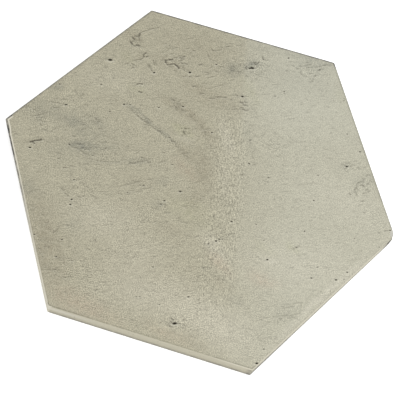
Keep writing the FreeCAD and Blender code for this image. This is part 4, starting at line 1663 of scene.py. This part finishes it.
def edge_wear_and_shading(bench, groups, place, colour, face):
    """The print's dark brim and the bare body on the arris in front, with painted shade on the arris
    behind, a painted highlight and painted shadow by the left-hand side, and painted shadow by the chipped
    point.
    """
    inside = mask_of(bench, "inside")
    across = bench.dot(place, (1.0, 0.0, 0.0))
    up = bench.dot(place, (0.0, 1.0, 0.0))
    back = bench.step(up, -2.0, 2.0)
    far = bench.step(up, 84.0, 86.0)
    west = bench.step(across, 54.0, 48.0)
    east = bench.step(bench.dot(place, EAST), 66.0, 80.0)
    front = bench.step(up, -84.0, -85.5)
    broken = bench.step(bench.noise(place, 0.25, 3.0, 0.6), 0.35, 0.65, 0.6, 1.2)
    calm = bench.math("MULTIPLY_ADD", east, -0.22, 0.25)
    ends = bench.step(bench.math("ABSOLUTE", across), 22.0, 45.0, 0.0, 0.3)
    more = bench.times(front, ends)
    brim = bench.times(bench.step(inside, 1.35, 0.8), bench.step(inside, 0.3, 0.5))
    brim = bench.times(broken, bench.math("ADD", calm, more), brim)
    colour = bench.mix(brim, colour, tone(104, 98, 80))
    over = bench.step(inside, 0.5, 0.32)
    # Painted shade on the arris of the back half, darker on the left-hand side.
    painted_shade = bench.math("MULTIPLY_ADD", west, 0.46, 0.35)
    painted_shade = bench.math("MULTIPLY_ADD", bench.times(far, west), 0.24, painted_shade)
    painted_shade = bench.times(painted_shade, broken, back)
    bare = bench.times(bench.math("SUBTRACT", 0.9, back), over)
    colour = bench.mix(bare, colour, linear(face.body))
    colour = bench.mix(bench.times(east, bare, 0.55), colour, PALE_EDGE)
    beside, west_shadow = west_side(bench, place, 84.2, 84.8)
    along = bench.dot(place, WEST_RUN)
    # Worn pale strip along the left-hand arris, painted lighter than the bare body as a painted highlight.
    edge = bench.math("SUBTRACT", inside, bench.step(along, 41.0, 46.0, 0.0, 0.4))
    worn = bench.step(bench.math("MULTIPLY_ADD", west_shadow, -0.66, edge), 0.75, 0.5, 0.0, 0.7)
    worn = bench.times(worn, bench.math("MULTIPLY_ADD", west_shadow, 0.35, 1.0))
    colour = bench.mix(bench.times(worn, beside), colour, PALE_EDGE)
    # Painted shadow: a dark line along the outer edge of the left-hand arris.
    west_shadow = bench.times(west_shadow, broken, bench.step(edge, 0.7, 0.4))
    colour = bench.mix(west_shadow, colour, tone(70, 69, 63))
    # Painted shadow on the arris by the chipped point.
    point_shade = bench.times(point_shadow(bench, groups, place), bench.step(inside, 0.4, 0.25))
    colour = bench.mix(point_shade, colour, POINT_SHADOW)
    # The painted shade behind reaches onto the face's margin, wider along the far side.
    width = bench.math("MULTIPLY_ADD", far, 0.45, 0.35)
    wide = bench.math("MULTIPLY_ADD", bench.step(inside, 0.95, 0.6), width, over)
    return bench.mix(bench.times(wide, painted_shade), colour, tone(100, 98, 94))


def face_material(face, groups):
    """The concrete-look print on the walking face and over its arris."""
    material, bench, shader = new_material("walking_face")
    place = millimetres(bench)
    colour, pale, torn = print_tones(bench, groups, place, face)
    value, felt, dash = print_grain(bench, groups, place, pale, face)
    colour = bench.lift(colour, value, face.grain)
    colour = bench.mix(bench.times(dash, 0.34), colour, PRINT_SPECK)
    fed = {"Place": torn, "Cell": 1.6, "Share": 0.16, "Dot": 0.3}
    flecks = bench.times(bench.group(groups.specks, fed), 0.3)
    colour = bench.mix(flecks, colour, PRINT_SPECK)
    colour = edge_wear_and_shading(bench, groups, place, colour, face)
    rim_highlight, line, pore = [mask_of(bench, name) for name in ("rim_highlight", "line", "pore")]
    # Painted highlight on the lower rims of the pores and strokes.
    colour = bench.mix(bench.times(rim_highlight, 0.45), colour, tone(222, 218, 200))
    colour = bench.mix(line, colour, tone(56, 51, 35))
    colour = bench.mix(pore, colour, tone(36, 32, 19))
    colour = bench.mix(bench.times(mask_of(bench, "chip"), 0.9), colour, FRESH_BREAK)
    bench.feed(shader["Base Color"], colour)
    shine = bench.math("MULTIPLY_ADD", value, 0.12, 0.66)
    bench.feed(shader["Roughness"], bench.math("MULTIPLY_ADD", pore, 0.25, shine, clamp=True))
    fed = {"Height": felt, "Strength": 0.3, "Distance": 0.0001}
    bench.feed(shader["Normal"], bench.put("ShaderNodeBump", fed).outputs["Normal"])
    return material


def body_material(face, groups):
    """The bare fired porcelain of the sides, the back and the chip, with painted shade and light on the
    sides.
    """
    material, bench, shader = new_material("fired_body")
    place = millimetres(bench)
    fed = {"Place": place, "Fine Size": 0.6, "Fine Share": 1.0, "Streak Length": 1.0}
    fed |= {"Streak Width": 1.0, "Streak Share": 0.5, "Blotch Size": 6.0, "Blotch Share": 0.8}
    grain = bench.group(groups.grain, fed)
    colour = bench.lift(linear(face.body), grain, 0.16)
    fed = {"Place": place, "Cell": 1.1, "Share": 0.2, "Dot": 0.24}
    specks = bench.times(bench.group(groups.specks, fed), 0.3)
    colour = bench.mix(specks, colour, tone(120, 112, 96))
    height = bench.dot(place, (0.0, 0.0, 1.0))
    wash = bench.step(bench.noise(place, 0.5, 3.0, 0.6), 0.42, 0.58)
    wash = bench.times(wash, bench.step(height, 0.2, 0.05, 0.0, 0.5))
    colour = bench.mix(wash, colour, tone(228, 225, 216))
    broken = bench.step(bench.noise(place, 0.3, 3.0, 0.6), 0.35, 0.65, 0.6, 1.0)
    outer = bench.step(mask_of(bench, "inside"), 1.2, 0.9)
    # Painted shade: the sides darken towards the bottom.
    lower_shade = bench.times(bench.step(height, 8.5, 2.5, 0.0, 0.2), outer)
    colour = bench.mix(lower_shade, colour, tone(150, 142, 120))
    beside, west_shadow = west_side(bench, place, 84.0, 85.8)
    # Painted light: the left-hand side is made paler, as if more light fell on it.
    colour = bench.mix(bench.times(beside, 0.42), colour, tone(226, 220, 202))
    # Painted light: the upper part of the left-hand sides is made lighter.
    across = bench.dot(place, (1.0, 0.0, 0.0))
    lit_upper = bench.times(bench.step(across, -18.0, -46.0), bench.step(height, 5.0, 7.5))
    colour = bench.mix(bench.times(lit_upper, 0.35), colour, tone(226, 223, 212))
    # Painted shade: a dark band low on the sides, the right-hand side darkened all over against the lamp,
    # and the left-hand side's painted shadow added.
    foot = bench.step(height, 5.6, 2.5, 0.0, bench.step(across, -45.0, -5.0, 0.6, 0.68))
    foot = bench.math("SUBTRACT", foot, bench.times(beside, 0.68), clamp=True)
    facing = bench.step(bench.dot(place, EAST), 84.0, 86.0)
    along = bench.dot(place, EAST_RUN)
    facing = bench.times(facing, bench.step(along, -10.0, -45.0, 0.2, 0.5))
    foot = bench.math("ADD", bench.math("ADD", foot, facing), west_shadow)
    foot = bench.times(outer, broken, foot)
    colour = bench.mix(foot, colour, tone(88, 86, 84))
    # Painted shadow on the side below the chipped point.
    below_face = bench.step(height, 9.0, 8.0, 0.0, 0.72)
    painted_shade = bench.times(point_shadow(bench, groups, place), below_face)
    colour = bench.mix(bench.times(painted_shade, outer), colour, POINT_SHADOW)
    chip = bench.times(mask_of(bench, "chip"), 0.7)
    colour = bench.mix(chip, colour, FRESH_BREAK)
    bench.feed(shader["Base Color"], colour)
    bench.feed(shader["Roughness"], bench.math("MULTIPLY_ADD", grain, 0.15, 0.8, clamp=True))
    fed = {"Height": grain, "Strength": 0.25, "Distance": 0.00015}
    bench.feed(shader["Normal"], bench.put("ShaderNodeBump", fed).outputs["Normal"])
    return material


# Stage


def seen_directly(bench):
    """One for rays from the camera, in a mirror or through glass."""
    path = bench.put("ShaderNodeLightPath").outputs
    seen = bench.math("MAXIMUM", path["Is Camera Ray"], path["Is Glossy Ray"])
    return bench.math("MAXIMUM", seen, path["Is Transmission Ray"])


def floor_material(glow):
    """Plain white floor that keeps the tile's shadow, and isn't there from below."""
    material = bpy.data.materials.new("stage_floor")
    material.use_nodes = True
    material.node_tree.nodes.clear()
    bench = Bench(material.node_tree)
    matt = bench.put("ShaderNodeBsdfDiffuse", {"Color": (0.93, 0.93, 0.93, 1)})
    seen = bench.times(seen_directly(bench), glow)
    shine = bench.put("ShaderNodeEmission", {"Strength": seen})
    both = bench.put("ShaderNodeAddShader")
    bench.feed(both.inputs[0], matt.outputs[0])
    bench.feed(both.inputs[1], shine.outputs[0])
    below = bench.put("ShaderNodeNewGeometry").outputs["Backfacing"]
    clear = bench.put("ShaderNodeBsdfTransparent")
    mixed = bench.put("ShaderNodeMixShader", {"Fac": below})
    bench.feed(mixed.inputs[1], both.outputs[0])
    bench.feed(mixed.inputs[2], clear.outputs[0])
    end = bench.put("ShaderNodeOutputMaterial")
    bench.feed(end.inputs["Surface"], mixed.outputs[0])
    return material


def lay_floor(scene, glow):
    """A wide floor under the tile, cut out where the tile covers it."""
    reach, drop, lap = 3.0, -0.05 * MM, MM
    places = []
    for radius in (CAD_HIGH.x - lap, reach):
        for k in range(SIDES):
            places.append((radius * math.cos(k * TURN), radius * math.sin(k * TURN), drop))
    faces = []
    for k in range(SIDES):
        after = (k + 1) % SIDES
        faces.append((k, SIDES + k, SIDES + after, after))
    mesh = bpy.data.meshes.new("stage_floor")
    mesh.from_pydata(places, [], faces)
    mesh.materials.append(floor_material(glow))
    floor = bpy.data.objects.new("stage_floor", mesh)
    scene.collection.objects.link(floor)


def light_world(scene, strength):
    """Even light from all round, which the camera sees as white."""
    world = bpy.data.worlds.new("stage_sky")
    world.use_nodes = True
    world.node_tree.nodes.clear()
    bench = Bench(world.node_tree)
    level = bench.step(seen_directly(bench), 0.0, 1.0, strength, 1.0)
    sky = bench.put("ShaderNodeBackground", {"Color": (1, 1, 1, 1), "Strength": level})
    end = bench.put("ShaderNodeOutputWorld")
    bench.feed(end.inputs["Surface"], sky.outputs[0])
    scene.world = world


def hang_lamp(scene, power):
    """A broad soft lamp in front of the tile, to the right."""
    lamp = bpy.data.lights.new("stage_lamp", "AREA")
    lamp.shape = "DISK"
    lamp.size = 0.5
    lamp.energy = power
    hung = bpy.data.objects.new("stage_lamp", lamp)
    hung.location = (0.4, -0.42, 0.85)
    hung.rotation_mode = "QUATERNION"
    hung.rotation_quaternion = (-hung.location).to_track_quat("-Z", "Y")
    scene.collection.objects.link(hung)


def stand_camera(scene):
    """The camera at the place from which the photograph was taken."""
    lens = bpy.data.cameras.new("photo_camera")
    lens.sensor_width = SENSOR
    lens.lens = PHOTO_FOCUS / PHOTO_SIDE * SENSOR
    lens.clip_start = 0.01
    lens.clip_end = 50
    camera = bpy.data.objects.new("photo_camera", lens)
    right, up, forward = camera_axes()
    rows = [(right[k], up[k], -forward[k], CAMERA_PLACE[k]) for k in range(3)]
    scene.collection.objects.link(camera)
    camera.matrix_world = Matrix((*rows, (0, 0, 0, 1)))
    scene.camera = camera


# Add-on


class FLOORTILE_OT_press(bpy.types.Operator):
    """Press the tile and give it its finishes"""

    bl_idname = "floor_tile.press"
    bl_label = "Press Tile"

    def execute(self, context):
        sizes = in_millimetres(context.scene.floor_tile_sizes)
        face = in_millimetres(context.scene.floor_tile_face)
        mesh = make_mesh("pressed_tile", *press_tile(sizes, face))
        groups = make_groups()
        mesh.materials.append(face_material(face, groups))
        mesh.materials.append(body_material(face, groups))
        tile = bpy.data.objects.new("pressed_tile", mesh)
        context.scene.collection.objects.link(tile)
        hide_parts(NODE)
        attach(tile, BODY)
        return {"FINISHED"}


class FLOORTILE_OT_stage(bpy.types.Operator):
    """Lay the floor, light it and stand the camera"""

    bl_idname = "floor_tile.stage"
    bl_label = "Set Stage"

    def execute(self, context):
        light = context.scene.floor_tile_light
        lay_floor(context.scene, light.glow)
        light_world(context.scene, light.sky)
        hang_lamp(context.scene, light.lamp)
        stand_camera(context.scene)
        context.scene.view_settings.view_transform = "Standard"
        return {"FINISHED"}


class FLOORTILE_PT_panel(bpy.types.Panel):
    """The tile's operators and settings"""

    bl_idname = "FLOORTILE_PT_panel"
    bl_label = "Floor Tile"
    bl_space_type = "VIEW_3D"
    bl_region_type = "UI"
    bl_category = "Floor Tile"

    def draw(self, context):
        layout = self.layout
        layout.operator(FLOORTILE_OT_press.bl_idname)
        layout.operator(FLOORTILE_OT_stage.bl_idname)
        for name in ("floor_tile_sizes", "floor_tile_face", "floor_tile_light"):
            settings = getattr(context.scene, name)
            box = layout.box()
            for key in settings.bl_rna.properties.keys():
                if key not in ("rna_type", "name"):
                    box.prop(settings, key)


CLASSES = (
    TileSizes,
    TileFace,
    StageLight,
    FLOORTILE_OT_press,
    FLOORTILE_OT_stage,
    FLOORTILE_PT_panel,
)


def register():
    """Makes the tile's settings, operators and panel known."""
    for kind in CLASSES:
        bpy.utils.register_class(kind)
    bpy.types.Scene.floor_tile_sizes = PointerProperty(type=TileSizes)
    bpy.types.Scene.floor_tile_face = PointerProperty(type=TileFace)
    bpy.types.Scene.floor_tile_light = PointerProperty(type=StageLight)


def unregister():
    """Takes them away again."""
    del bpy.types.Scene.floor_tile_light
    del bpy.types.Scene.floor_tile_face
    del bpy.types.Scene.floor_tile_sizes
    for kind in reversed(CLASSES):
        bpy.utils.unregister_class(kind)


def main():
    """Builds everything in order."""
    register()
    bpy.ops.floor_tile.press()
    bpy.ops.floor_tile.stage()


if __name__ == "__main__":
    main()
